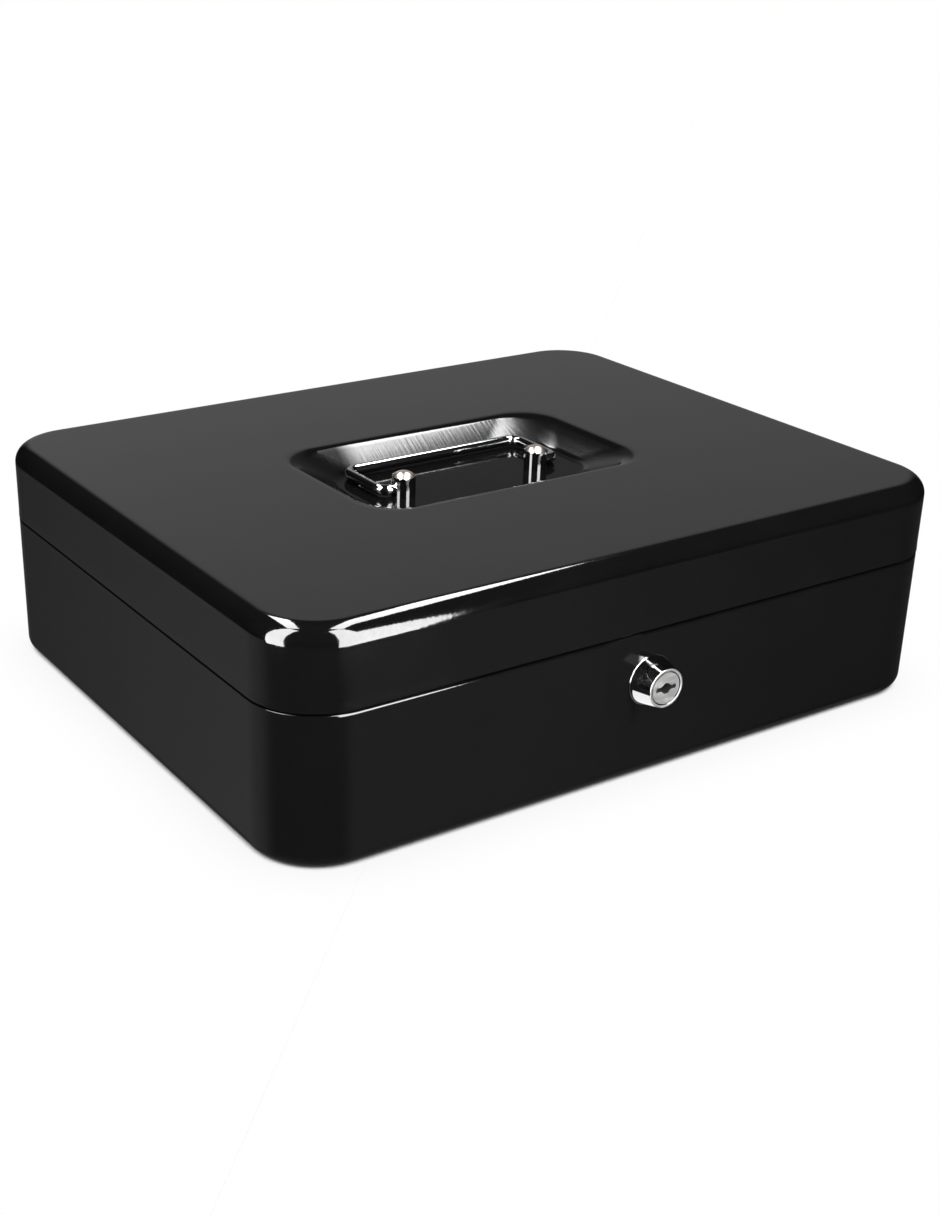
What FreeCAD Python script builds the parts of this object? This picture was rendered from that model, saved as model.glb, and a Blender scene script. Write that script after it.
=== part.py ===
import FreeCAD, Part
import math
import os
import re
import Sketcher

# A lockable steel cash box. X runs along its length, +Y to the hinges, Z up.
# The origin is the middle of the face it stands on. Sizes are in millimetres and degrees.
driving_sizes = {
    # steel box
    "box_length": 300.0,
    "box_depth": 240.0,
    "box_height": 88.0,
    "corner_radius": 26.0,
    "steel": 0.8,
    "base_edge_radius": 5.0,
    "lid_edge_radius": 7.0,
    # seam between lid and base
    "seam_height": 57.6,
    "seam_gap": 0.4,
    "shoulder_radius": 1.0,
    "hem_bead": 0.35,
    "hem_fold": 1.6,
    "hem_height": 2.5,
    "hem_edge_radius": 0.5,
    "neck_clearance": 0.55,
    "neck_height": 9.6,
    "ledge_width": 6.0,
    # dished recess in the lid
    "recess_length": 126.0,
    "recess_width": 78.0,
    "recess_corner": 17.0,
    "recess_run": 12.0,
    "recess_depth": 8.0,
    "recess_rim_radius": 4.0,
    "recess_floor_radius": 3.0,
    # handle posts, riveted through the recess floor
    "post_spacing": 64.0,
    "post_forward": 5.7,
    "post_diameter": 9.5,
    "post_height": 7.1,
    "dome_height": 2.2,
    "shank_diameter": 5.0,
    "shank_clearance": 0.1,
    "washer_diameter": 11.0,
    "washer_thickness": 1.0,
    "tail_diameter": 7.0,
    "tail_height": 1.2,
    # wire bail
    "wire_diameter": 4.2,
    "wire_clearance": 0.05,
    "wire_grip": 6.0,
    "pivot_height": 2.6,
    "bail_reach": 27.5,
    "bail_width": 84.0,
    "elbow_radius": 4.0,
    "bail_corner_radius": 5.0,
    # two barrel hinges on the back
    "hinge_spacing": 170.0,
    "hinge_width": 40.0,
    "hinge_setback": 3.5,
    "leaf_thickness": 1.2,
    "leaf_height": 18.0,
    "lid_leaf_margin": 3.85,
    "barrel_diameter": 5.5,
    "pin_diameter": 3.0,
    "pin_clearance": 0.05,
    "knuckle_gap": 0.3,
    "notch_clearance": 0.3,
    "lid_opening_angle": 105.0,
    "stop_contact_angle": 20.0,
    "stop_gap": 0.3,
    "stop_width": 1.2,
    # coin tray
    "tray_margin": 6.0,
    "tray_corner": 20.0,
    "tray_wall": 1.6,
    "tub_clearance": 5.0,
    "tub_depth": 32.0,
    "tub_corner": 6.0,
    "lock_space": 30.0,
    "cup_count": 5.0,
    "cup_length": 70.0,
    "cup_radius": 14.0,
    "bay_radius": 6.0,
    "tray_notch_width": 44.0,
    # catch under the lid
    "catch_offset": 10.0,
    "catch_thickness": 1.5,
    "catch_depth": 13.0,
    "catch_bar": 5.0,
    "catch_side": 3.0,
    "catch_lift": 0.4,
    "catch_slot_height": 29.0,
    "catch_clearance": 2.4,
    "catch_roll_clearance": 0.2,
    "catch_flange_width": 20.0,
    # cam lock in the front wall
    "lock_height": 38.4,
    "bezel_diameter": 15.0,
    "bezel_base_diameter": 19.0,
    "bezel_length": 9.0,
    "flange_diameter": 20.0,
    "flange_thickness": 1.0,
    "lock_body_diameter": 16.0,
    "lock_body_length": 17.0,
    "lock_hole_clearance": 0.1,
    "plug_diameter": 12.2,
    "plug_head_length": 3.0,
    "plug_recess": 0.2,
    "plug_barrel_diameter": 10.4,
    "plug_clearance": 0.05,
    "face_groove_width": 0.4,
    "face_groove_depth": 0.8,
    "keyway_length": 9.0,
    "keyway_height": 1.5,
    "keyway_bulge_length": 4.6,
    "keyway_bulge_flat": 1.4,
    "keyway_bulge_height": 4.2,
    "keyway_depth": 21.2,
    "wafer_count": 5.0,
    "wafer_pitch": 2.6,
    "wafer_thickness": 0.9,
    "wafer_width": 5.6,
    "wafer_web": 0.9,
    "wafer_clearance": 0.05,
    "wafer_start": 1.0,
    "spring_diameter": 1.2,
    "spring_bore": 0.6,
    "spring_headroom": 0.3,
    "lock_washer_diameter": 23.0,
    "lock_washer_thickness": 1.0,
    "nut_width": 20.0,
    "nut_thickness": 4.0,
    "thread_clearance": 0.05,
    "cam_gap": 0.2,
    "cam_thickness": 2.0,
    "cam_width": 10.0,
    "cam_length": 17.0,
    "cam_corner": 4.8,
    "square_tail": 6.0,
    "tail_clearance": 0.05,
    "cam_washer_diameter": 9.0,
    "cam_washer_thickness": 0.8,
    "screw_diameter": 3.0,
    "screw_length": 6.0,
    "screw_head_diameter": 6.0,
    "screw_head_height": 2.2,
    "screw_slot_width": 0.8,
    "screw_slot_depth": 1.0,
}

doc = FreeCAD.newDocument("CashBox")
sizes = doc.addObject("Spreadsheet::Sheet", "Sizes")
for row, (alias, amount) in enumerate(driving_sizes.items(), 1):
    sizes.set(f"A{row}", alias)
    sizes.set(f"B{row}", str(amount))
    sizes.setAlias(f"B{row}", alias)
doc.recompute()

sub_parts = []


# Places worked out from the driving sizes, as expressions.
def sized(text):
    def name_cell(match):
        word = match.group(0)
        return f"Sizes.{word}" if word in driving_sizes else word

    return "(" + re.sub(r"(?<![\w.])[a-z_]+", name_cell, text) + ")"


def amount_of(expression):
    return float(sizes.evalExpression(expression))


def minus(expression):
    return f"(0 - {expression})"


half_length = sized("box_length / 2")
half_depth = sized("box_depth / 2")
base_top = sized("seam_height - seam_gap / 2")
lid_bottom = sized("seam_height + seam_gap / 2")
neck_inset = sized("hem_fold + neck_clearance")
neck_top = sized(f"{base_top} + neck_height")
steel = sized("steel")
recess_floor = sized("box_height - recess_depth")
roll_start = sized("box_height - lid_edge_radius")
post_y = sized("0 - post_forward")
pivot_z = sized(f"{recess_floor} + pivot_height")
hinge_y = sized(f"{half_depth} + hinge_setback")
hinge_z = sized("seam_height")
barrel_radius = sized("barrel_diameter / 2")
cam_front = sized("lock_body_length + cam_gap")


# Solids and sketches
def new_body(label):
    body = doc.addObject("PartDesign::Body", label)
    body.Label = label
    sub_parts.append(body)
    return body


def new_sketch(body, role, name, offset="0"):
    sketch = body.newObject("Sketcher::SketchObject", f"{body.Label}_{name}")
    plane = [feature for feature in body.Origin.OriginFeatures if feature.Role == role][0]
    sketch.AttachmentSupport = [(plane, "")]
    sketch.MapMode = "FlatFace"
    sketch.setExpression("AttachmentOffset.Base.z", offset)
    return sketch


def bind(sketch, index, expression):
    sketch.setExpression(f"Constraints[{index}]", expression)


def pin_point(sketch, geometry, point, x, y):
    for kind, expression in (("DistanceX", x), ("DistanceY", y)):
        place = Sketcher.Constraint(kind, geometry, point, amount_of(expression))
        bind(sketch, sketch.addConstraint(place), expression)


# A rectangle with round corners about a centre: four lines joined by four tangent arcs.
def rounded_rectangle(sketch, width, depth, radius, centre_x="0", centre_y="0"):
    rad = amount_of(radius)
    reach_x = f"(({width}) / 2 - ({radius}))"
    reach_y = f"(({depth}) / 2 - ({radius}))"
    corners = []
    for sign_x, sign_y in ((1, 1), (-1, 1), (-1, -1), (1, -1)):
        corners.append((f"({centre_x}) + {sign_x} * {reach_x}", f"({centre_y}) + {sign_y} * {reach_y}"))
    arcs = []
    for turn, (x, y) in enumerate(corners):
        centre = FreeCAD.Vector(amount_of(x), amount_of(y), 0)
        circle = Part.Circle(centre, FreeCAD.Vector(0, 0, 1), rad)
        start = turn * math.pi / 2
        arcs.append(sketch.addGeometry(Part.ArcOfCircle(circle, start, start + math.pi / 2)))
    for turn in range(4):
        here = sketch.Geometry[arcs[turn]].EndPoint
        there = sketch.Geometry[arcs[(turn + 1) % 4]].StartPoint
        line = sketch.addGeometry(Part.LineSegment(here, there))
        sketch.addConstraint(Sketcher.Constraint("Tangent", arcs[turn], 2, line, 1))
        sketch.addConstraint(Sketcher.Constraint("Tangent", line, 2, arcs[(turn + 1) % 4], 1))
        sketch.addConstraint(Sketcher.Constraint("Horizontal" if turn % 2 == 0 else "Vertical", line))
    for arc in arcs[1:]:
        sketch.addConstraint(Sketcher.Constraint("Equal", arcs[0], arc))
    bind(sketch, sketch.addConstraint(Sketcher.Constraint("Radius", arcs[0], rad)), radius)
    pin_point(sketch, arcs[0], 3, *corners[0])
    pin_point(sketch, arcs[2], 3, *corners[2])


# A closed outline of straight sides, each corner held at its own place.
def outline(sketch, points):
    places = [FreeCAD.Vector(amount_of(x), amount_of(y), 0) for x, y in points]
    lines = []
    for index, place in enumerate(places):
        follower = places[(index + 1) % len(places)]
        lines.append(sketch.addGeometry(Part.LineSegment(place, follower)))
    for index, line in enumerate(lines):
        follower = lines[(index + 1) % len(lines)]
        sketch.addConstraint(Sketcher.Constraint("Coincident", line, 2, follower, 1))
        pin_point(sketch, line, 1, *points[index])
    return lines


def rectangle(sketch, x_span, y_span):
    (x0, x1), (y0, y1) = x_span, y_span
    outline(sketch, [(x0, y0), (x1, y0), (x1, y1), (x0, y1)])


def circle(sketch, x, y, diameter):
    centre = FreeCAD.Vector(amount_of(x), amount_of(y), 0)
    round_edge = Part.Circle(centre, FreeCAD.Vector(0, 0, 1), amount_of(diameter) / 2)
    index = sketch.addGeometry(round_edge)
    bind(sketch, sketch.addConstraint(Sketcher.Constraint("Diameter", index, amount_of(diameter))), diameter)
    pin_point(sketch, index, 3, x, y)


def grow(body, kind, sketch, name, reversed_way=False, **lengths):
    feature = body.newObject(f"PartDesign::{kind}", f"{body.Label}_{name}")
    feature.Profile = sketch
    feature.Reversed = reversed_way
    for side, expression in lengths.items():
        feature.setExpression(side, expression)
    sketch.Visibility = False
    doc.recompute()
    return feature


def pad(body, sketch, name, length, reversed_way=False):
    return grow(body, "Pad", sketch, name, reversed_way, Length=length)


# A pocket has to take material away, or its sketch faces the wrong way.
def pocket(body, sketch, name, length, reversed_way=False):
    before = body.Shape.Volume
    feature = grow(body, "Pocket", sketch, name, reversed_way, Length=length)
    if not body.Shape.Volume < before - 1e-6:
        raise ValueError(f"{feature.Label} cuts nothing")
    return feature


def revolve(body, sketch, name):
    feature = body.newObject("PartDesign::Revolution", f"{body.Label}_{name}")
    feature.Profile = sketch
    feature.ReferenceAxis = (sketch, ["V_Axis"])
    feature.Angle = 360
    doc.recompute()
    return feature


def loft(body, kind, sketches, name):
    feature = body.newObject(f"PartDesign::{kind}", f"{body.Label}_{name}")
    feature.Profile = sketches[0]
    feature.Sections = sketches[1:]
    feature.Ruled = True
    doc.recompute()
    return feature


# The level edges of a shape that lie on a rounded rectangle about the origin.
def rim_edges(shape, level, width, depth, radius):
    height, rad = amount_of(level), amount_of(radius)
    reach_x, reach_y = amount_of(width) / 2 - rad, amount_of(depth) / 2 - rad
    names = []
    for index, edge in enumerate(shape.Edges, 1):
        box = edge.BoundBox
        if abs(box.ZMin - height) > 1e-3 or abs(box.ZMax - height) > 1e-3:
            continue
        middle = edge.valueAt((edge.FirstParameter + edge.LastParameter) / 2)
        past_x, past_y = abs(middle.x) - reach_x, abs(middle.y) - reach_y
        beyond = math.hypot(max(past_x, 0), max(past_y, 0)) + min(max(past_x, past_y), 0)
        if abs(beyond - rad) < 1e-3:
            names.append(f"Edge{index}")
    return names


def fillet(body, name, edges, radius):
    feature = body.newObject("PartDesign::Fillet", f"{body.Label}_{name}")
    feature.Base = (body.Tip if body.Tip != feature else feature.BaseFeature, edges)
    feature.setExpression("Radius", radius)
    doc.recompute()
    return feature


def block(name, x_span, y_span, z_span):
    solid = doc.addObject("Part::Box", name)
    for side, axis, (low, high) in zip(("Length", "Width", "Height"), "xyz", (x_span, y_span, z_span)):
        solid.setExpression(side, f"({high}) - ({low})")
        solid.setExpression(f"Placement.Base.{axis}", low)
    return solid


turned_from_z = {
    "x": FreeCAD.Rotation(FreeCAD.Vector(0, 1, 0), 90),
    "y": FreeCAD.Rotation(FreeCAD.Vector(1, 0, 0), -90),
    "z": FreeCAD.Rotation(),
}


# A round bar that starts at a place and runs along +X, +Y or +Z.
def rod(name, along, diameter, length, place):
    solid = doc.addObject("Part::Cylinder", name)
    solid.setExpression("Radius", f"({diameter}) / 2")
    solid.setExpression("Height", length)
    solid.Placement = FreeCAD.Placement(FreeCAD.Vector(), turned_from_z[along])
    for axis, expression in zip("xyz", place):
        solid.setExpression(f"Placement.Base.{axis}", expression)
    return solid


def join(name, solids):
    joined = doc.addObject("Part::MultiFuse", name)
    joined.Shapes = solids
    joined.Refine = True
    return joined


def cut(name, solid, tools):
    left = doc.addObject("Part::Cut", name)
    left.Base = solid
    left.Tool = tools[0] if len(tools) == 1 else join(f"{name}_tools", tools)
    left.Refine = True
    return left


def sub_part(solid, label):
    solid.Label = label
    sub_parts.append(solid)
    return solid


def inset(expression, amount):
    return f"(({expression}) - 2 * ({amount}))"


box_length, box_depth = sized("box_length"), sized("box_depth")
corner = sized("corner_radius")
left_right = (("left", -1), ("right", 1))


def hinge_x(side):
    return sized(f"{side} * hinge_spacing / 2")


knuckle_step = sized("hinge_width / 6")
ear_half = sized("hinge_width / 2")
base_run = (sized(f"{hinge_z} - {barrel_radius}"), sized(f"{hinge_z} - {barrel_radius} + leaf_thickness"))
lid_run = (sized(f"{hinge_z} + {barrel_radius} - leaf_thickness"), sized(f"{hinge_z} + {barrel_radius}"))
back_inside = sized(f"{half_depth} - steel")
notch_gap = sized("notch_clearance")


# Base: a pressed pan with a shoulder, a neck that the lid closes over and a ledge turned inward.
def make_base_shell():
    body = new_body("base_shell")
    outer = new_sketch(body, "XY_Plane", "outer")
    rounded_rectangle(outer, box_length, box_depth, corner)
    pad(body, outer, "pan", base_top)
    neck = new_sketch(body, "XY_Plane", "neck_outer", base_top)
    neck_length, neck_depth = inset(box_length, neck_inset), inset(box_depth, neck_inset)
    neck_corner = f"({corner} - {neck_inset})"
    rounded_rectangle(neck, neck_length, neck_depth, neck_corner)
    pad(body, neck, "neck", sized("neck_height"))

    room = new_sketch(body, "XY_Plane", "room", f"{base_top} - {steel}")
    room_length, room_depth = inset(box_length, steel), inset(box_depth, steel)
    room_corner = f"({corner} - {steel})"
    rounded_rectangle(room, room_length, room_depth, room_corner)
    pocket(body, room, "room_cut", f"{base_top} - 2 * {steel}")
    throat = new_sketch(body, "XY_Plane", "throat", f"{neck_top} - {steel}")
    throat_corner = f"({neck_corner} - {steel})"
    rounded_rectangle(throat, inset(neck_length, steel), inset(neck_depth, steel), throat_corner)
    pocket(body, throat, "throat_cut", sized("neck_height"))
    mouth = new_sketch(body, "XY_Plane", "mouth", neck_top)
    mouth_inset = sized("steel + ledge_width")
    mouth_corner = f"({neck_corner} - {mouth_inset})"
    rounded_rectangle(mouth, inset(neck_length, mouth_inset), inset(neck_depth, mouth_inset), mouth_corner)
    pocket(body, mouth, "mouth_cut", f"2 * {steel}")

    inner = rim_edges(body.Shape, steel, room_length, room_depth, room_corner)
    fillet(body, "inner_edge", inner, sized("base_edge_radius - steel"))
    outer_rim = rim_edges(body.Shape, "0", box_length, box_depth, corner)
    fillet(body, "outer_edge", outer_rim, sized("base_edge_radius"))
    shoulder = rim_edges(body.Shape, base_top, box_length, box_depth, corner)
    fillet(body, "shoulder", shoulder, sized("shoulder_radius"))

    # slots in the back wall for the base leaves' ears
    for name, side in left_right:
        for ear, sign in left_right:
            slot = new_sketch(body, "XY_Plane", f"ear_slot_{name}_{ear}", base_top)
            near = f"({hinge_x(side)} + {sign} * ({knuckle_step} - {notch_gap}))"
            far = f"({hinge_x(side)} + {sign} * ({ear_half} + {notch_gap}))"
            ends = (near, far) if sign > 0 else (far, near)
            rectangle(slot, ends, (f"({half_depth} - 2 * {steel})", f"({half_depth} + {steel})"))
            pocket(body, slot, f"ear_cut_{name}_{ear}", f"{base_top} - {base_run[0]} + {notch_gap}")

    hole = new_sketch(body, "XZ_Plane", "lock_hole", half_depth)
    circle(hole, "0", sized("lock_height"), sized("lock_body_diameter + 2 * lock_hole_clearance"))
    pocket(body, hole, "lock_cut", f"2 * {steel}")


# Lid: a pressed cover with a rolled top edge, a folded hem and a dished recess for the handle.
def make_lid_shell():
    body = new_body("lid_shell")
    top = sized("box_height")
    outer = new_sketch(body, "XY_Plane", "outer", lid_bottom)
    rounded_rectangle(outer, box_length, box_depth, corner)
    pad(body, outer, "cover", f"{top} - {lid_bottom}")
    room = new_sketch(body, "XY_Plane", "room", lid_bottom)
    room_length, room_depth = inset(box_length, steel), inset(box_depth, steel)
    room_corner = f"({corner} - {steel})"
    rounded_rectangle(room, room_length, room_depth, room_corner)
    pocket(body, room, "room_cut", f"{top} - {lid_bottom} - {steel}", True)
    inner = rim_edges(body.Shape, f"{top} - {steel}", room_length, room_depth, room_corner)
    fillet(body, "inner_roll", inner, sized("lid_edge_radius - steel"))
    outer_rim = rim_edges(body.Shape, top, box_length, box_depth, corner)
    fillet(body, "outer_roll", outer_rim, sized("lid_edge_radius"))

    hem = new_sketch(body, "XY_Plane", "hem_ring", lid_bottom)
    bead, fold = sized("0 - hem_bead"), sized("hem_fold")
    bead_length, bead_depth = inset(box_length, bead), inset(box_depth, bead)
    bead_corner = f"({corner} - {bead})"
    rounded_rectangle(hem, bead_length, bead_depth, bead_corner)
    rounded_rectangle(hem, inset(box_length, fold), inset(box_depth, fold), f"({corner} - {fold})")
    pad(body, hem, "hem", sized("hem_height"))
    hem_edges = rim_edges(body.Shape, lid_bottom, bead_length, bead_depth, bead_corner)
    fillet(body, "hem_edge", hem_edges, sized("hem_edge_radius"))

    # the dish keeps the sheet's thickness on its sloping sides
    slope = "sqrt(recess_run * recess_run + recess_depth * recess_depth)"
    spread = sized(f"steel * ({slope} - recess_run) / recess_depth")
    opening = (sized("recess_length"), sized("recess_width"), sized("recess_corner"))
    run = sized("recess_run")
    floor = (inset(opening[0], run), inset(opening[1], run), f"({opening[2]} - {run})")
    dish_sketches = []
    for name, height, (length, width, radius), extra in (
        ("under_rim", f"{top} - {steel}", opening, spread),
        ("under_floor", f"{recess_floor} - {steel}", floor, spread),
        ("rim", top, opening, "0"),
        ("floor", recess_floor, floor, "0"),
    ):
        sketch = new_sketch(body, "XY_Plane", name, height)
        wider = minus(extra)
        rounded_rectangle(sketch, inset(length, wider), inset(width, wider), f"({radius} + {extra})")
        dish_sketches.append(sketch)
    loft(body, "AdditiveLoft", dish_sketches[:2], "dish")
    loft(body, "SubtractiveLoft", dish_sketches[2:], "dish_cut")
    fillet(body, "rim_roll", rim_edges(body.Shape, top, *opening), sized("recess_rim_radius"))
    fillet(body, "floor_roll", rim_edges(body.Shape, recess_floor, *floor), sized("recess_floor_radius"))

    shanks = new_sketch(body, "XY_Plane", "shank_holes", recess_floor)
    for name, side in left_right:
        circle(shanks, post_x(side), post_y, sized("shank_diameter + 2 * shank_clearance"))
    pocket(body, shanks, "shank_cut", f"2 * {steel}")

    # openings in the back skirt for the lid leaves' ears
    for name, side in left_right:
        slot = new_sketch(body, "XY_Plane", f"ear_slot_{name}", lid_bottom)
        reach = f"({ear_half} + {notch_gap})"
        ends = (f"({hinge_x(side)} - {reach})", f"({hinge_x(side)} + {reach})")
        rectangle(slot, ends, (f"({half_depth} - {fold} - {steel})", f"({half_depth} + {steel})"))
        pocket(body, slot, f"ear_cut_{name}", f"{lid_run[1]} + {notch_gap} - {lid_bottom}", True)


# Hinges: a leaf on the lid with one knuckle, a leaf on the base with two, and a pin.
def make_hinge(name, side):
    middle = hinge_x(side)
    ends = (f"({middle} - {ear_half})", f"({middle} + {ear_half})")
    inside = (sized(f"{back_inside} - leaf_thickness"), back_inside)
    to_axis = (inside[0], hinge_y)
    gap = sized("knuckle_gap / 2")
    centre = (f"({middle} - {knuckle_step} + {gap})", f"({middle} + {knuckle_step} - {gap})")
    outer_ears = (
        (ends[0], f"({middle} - {knuckle_step} - {gap})"),
        (f"({middle} + {knuckle_step} + {gap})", ends[1]),
    )
    bore_diameter = sized("pin_diameter + 2 * pin_clearance")
    whole_width = sized("hinge_width")

    def barrel(label, span):
        length = f"({span[1]}) - ({span[0]})"
        return rod(label, "x", sized("barrel_diameter"), length, (span[0], hinge_y, hinge_z))

    def bore(label):
        return rod(label, "x", bore_diameter, whole_width, (ends[0], hinge_y, hinge_z))

    base_label = f"base_hinge_leaf_{name}"
    plate = (sized(f"{base_run[1]} - leaf_height"), base_run[1])
    pieces = [block(f"{base_label}_plate", ends, inside, plate)]
    for ear, span in enumerate(outer_ears):
        pieces.append(block(f"{base_label}_ear{ear}", span, to_axis, base_run))
        pieces.append(barrel(f"{base_label}_barrel{ear}", span))
    leaf = join(f"{base_label}_bent", pieces)
    sub_part(cut(f"{base_label}_bored", leaf, [bore(f"{base_label}_bore")]), base_label)

    # The nose on the lid's knuckle meets the base's back wall when the lid is open.
    lid_label = f"lid_hinge_leaf_{name}"
    plate = (lid_run[0], sized(f"{roll_start} - lid_leaf_margin"))
    nose_angle = sized("180 + stop_contact_angle + lid_opening_angle")
    nose_reach = sized("(hinge_setback - stop_gap) / cos(stop_contact_angle * 1deg)")
    half_nose = sized("stop_width / 2")
    nose = block(f"{lid_label}_nose", centre, ("0", nose_reach), (minus(half_nose), half_nose))
    nose.setExpression("Placement.Rotation.Axis.x", "1")
    nose.setExpression("Placement.Rotation.Axis.z", "0")
    nose.setExpression("Placement.Rotation.Angle", nose_angle)
    nose_turn = f"({nose_angle} * 1deg)"
    nose.setExpression("Placement.Base.y", f"{hinge_y} + {half_nose} * sin{nose_turn}")
    nose.setExpression("Placement.Base.z", f"{hinge_z} - {half_nose} * cos{nose_turn}")
    pieces = [
        block(f"{lid_label}_plate", ends, inside, plate),
        block(f"{lid_label}_ear", centre, to_axis, lid_run),
        barrel(f"{lid_label}_barrel", centre),
        nose,
    ]
    leaf = join(f"{lid_label}_bent", pieces)
    sub_part(cut(f"{lid_label}_bored", leaf, [bore(f"{lid_label}_bore")]), lid_label)

    pin = rod(f"hinge_pin_{name}", "x", sized("pin_diameter"), whole_width, (ends[0], hinge_y, hinge_z))
    sub_part(pin, f"hinge_pin_{name}")


def post_x(side):
    return sized(f"{side} * post_spacing / 2")


# Handle post: a domed head on a shank that is peened over a washer under the recess floor.
def make_handle_post(name, side):
    body = new_body(f"handle_post_{name}")
    profile = new_sketch(body, "XZ_Plane", "profile")
    head, shank, tail = sized("post_diameter / 2"), sized("shank_diameter / 2"), sized("tail_diameter / 2")
    shoulder = sized("post_height")
    crown = sized("post_height + dome_height")
    seat = sized("0 - steel - washer_thickness")
    foot = sized(f"{seat} - tail_height")
    points = [
        ("0", foot), (tail, foot), (tail, seat), (shank, seat), (shank, "0"), (head, "0"), (head, shoulder),
    ]
    places = [FreeCAD.Vector(amount_of(x), amount_of(y), 0) for x, y in points]
    lines = []
    for start, end in zip(places, places[1:]):
        lines.append(sketch_line(profile, start, end))
    crown_place = FreeCAD.Vector(0, amount_of(crown), 0)
    rise, spread = amount_of(sized("dome_height")), places[-1].x
    sphere = (spread * spread + rise * rise) / (2 * rise)
    centre = FreeCAD.Vector(0, crown_place.y - sphere, 0)
    ring = Part.Circle(centre, FreeCAD.Vector(0, 0, 1), sphere)
    start_angle = math.atan2(places[-1].y - centre.y, places[-1].x)
    dome = profile.addGeometry(Part.ArcOfCircle(ring, start_angle, math.pi / 2))
    axis = sketch_line(profile, crown_place, places[0])
    for before, after in zip(lines, lines[1:]):
        profile.addConstraint(Sketcher.Constraint("Coincident", before, 2, after, 1))
    profile.addConstraint(Sketcher.Constraint("Coincident", lines[-1], 2, dome, 1))
    profile.addConstraint(Sketcher.Constraint("Coincident", dome, 2, axis, 1))
    profile.addConstraint(Sketcher.Constraint("Coincident", axis, 2, lines[0], 1))
    profile.addConstraint(Sketcher.Constraint("PointOnObject", dome, 3, -2))
    for line, (x, y) in zip(lines, points):
        pin_point(profile, line, 1, x, y)
    pin_point(profile, lines[-1], 2, *points[-1])
    pin_point(profile, axis, 1, "0", crown)
    revolve(body, profile, "turned")
    # cross bore for the wire, open on the outer side of the post
    bore = new_sketch(body, "YZ_Plane", "bore", f"{side} * ({head} - {sized('wire_grip')})")
    circle(bore, "0", sized("pivot_height"), sized("wire_diameter + 2 * wire_clearance"))
    pocket(body, bore, "bore_cut", sized("post_diameter"), side > 0)
    for axis_name, expression in zip("xyz", (post_x(side), post_y, recess_floor)):
        body.setExpression(f"Placement.Base.{axis_name}", expression)

    washer = f"post_washer_{name}"
    under = f"({recess_floor} - {steel} - {sized('washer_thickness')})"
    place = (post_x(side), post_y, under)
    disc = rod(f"{washer}_disc", "z", sized("washer_diameter"), sized("washer_thickness"), place)
    hole_diameter = sized("shank_diameter + 2 * shank_clearance")
    hole = rod(f"{washer}_hole", "z", hole_diameter, sized("washer_thickness"), place)
    sub_part(cut(f"{washer}_ring", disc, [hole]), washer)


def sketch_line(sketch, start, end):
    return sketch.addGeometry(Part.LineSegment(start, end))


# Bail: one bent wire whose ends turn inward into the posts.
def make_handle_bail():
    body = new_body("handle_bail")
    end = sized("post_spacing / 2 + post_diameter / 2 - wire_grip + wire_clearance")
    arm, reach = sized("bail_width / 2"), sized("bail_reach")
    elbow, bend = sized("elbow_radius"), sized("bail_corner_radius")
    path = new_sketch(body, "XY_Plane", "path")
    stops = [(end, "0"), (arm, "0"), (arm, reach), (minus(arm), reach), (minus(arm), "0"), (minus(end), "0")]
    radii = [elbow, bend, bend, elbow]
    places = [FreeCAD.Vector(amount_of(x), amount_of(y), 0) for x, y in stops]
    runs = []
    arcs = []
    leave = places[0]
    for index, radius in enumerate(radii, 1):
        rad = amount_of(radius)
        back = (places[index - 1] - places[index]).normalize()
        ahead = (places[index + 1] - places[index]).normalize()
        begin, finish = places[index] + back * rad, places[index] + ahead * rad
        centre = places[index] + (back + ahead) * rad
        runs.append(sketch_line(path, leave, begin))
        middle = centre + (places[index] - centre).normalize() * rad
        arcs.append(path.addGeometry(Part.Arc(begin, middle, finish)))
        leave = finish
    runs.append(sketch_line(path, leave, places[-1]))
    for index, (arc, radius) in enumerate(zip(arcs, radii)):
        for run, point in ((runs[index], 2), (runs[index + 1], 1)):
            touching = arc_end(path, arc, run, point)
            path.addConstraint(Sketcher.Constraint("Tangent", run, point, arc, touching))
        bind(path, path.addConstraint(Sketcher.Constraint("Radius", arc, amount_of(radius))), radius)
    for index, run in enumerate(runs):
        path.addConstraint(Sketcher.Constraint("Vertical" if index % 2 else "Horizontal", run))
    pin_point(path, runs[0], 1, *stops[0])
    pin_point(path, runs[-1], 2, *stops[-1])
    for run, kind, expression in (
        (runs[1], "DistanceX", arm),
        (runs[2], "DistanceY", reach),
        (runs[3], "DistanceX", minus(arm)),
    ):
        bind(path, path.addConstraint(Sketcher.Constraint(kind, run, 1, amount_of(expression))), expression)
    section = new_sketch(body, "YZ_Plane", "section", end)
    circle(section, "0", "0", sized("wire_diameter"))
    doc.recompute()
    wire = body.newObject("PartDesign::AdditivePipe", "handle_bail_wire")
    wire.Profile = section
    wire.Spine = (path, [f"Edge{index}" for index in range(1, len(path.Shape.Edges) + 1)])
    doc.recompute()
    swept = math.pi * amount_of(sized("wire_diameter")) ** 2 / 4 * path.Shape.Length
    if abs(body.Shape.Volume / swept - 1) > 0.01:
        raise ValueError("the bail is not its section times its length")
    for axis, expression in zip("xyz", ("0", post_y, pivot_z)):
        body.setExpression(f"Placement.Base.{axis}", expression)


# Which end of an arc a line's end touches: 1 for its start, 2 for its finish.
def arc_end(sketch, arc, line, point):
    line_end = sketch.getPoint(line, point)
    to_start, to_finish = (sketch.getPoint(arc, 1) - line_end), (sketch.getPoint(arc, 2) - line_end)
    return 1 if to_start.Length < to_finish.Length else 2


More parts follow.
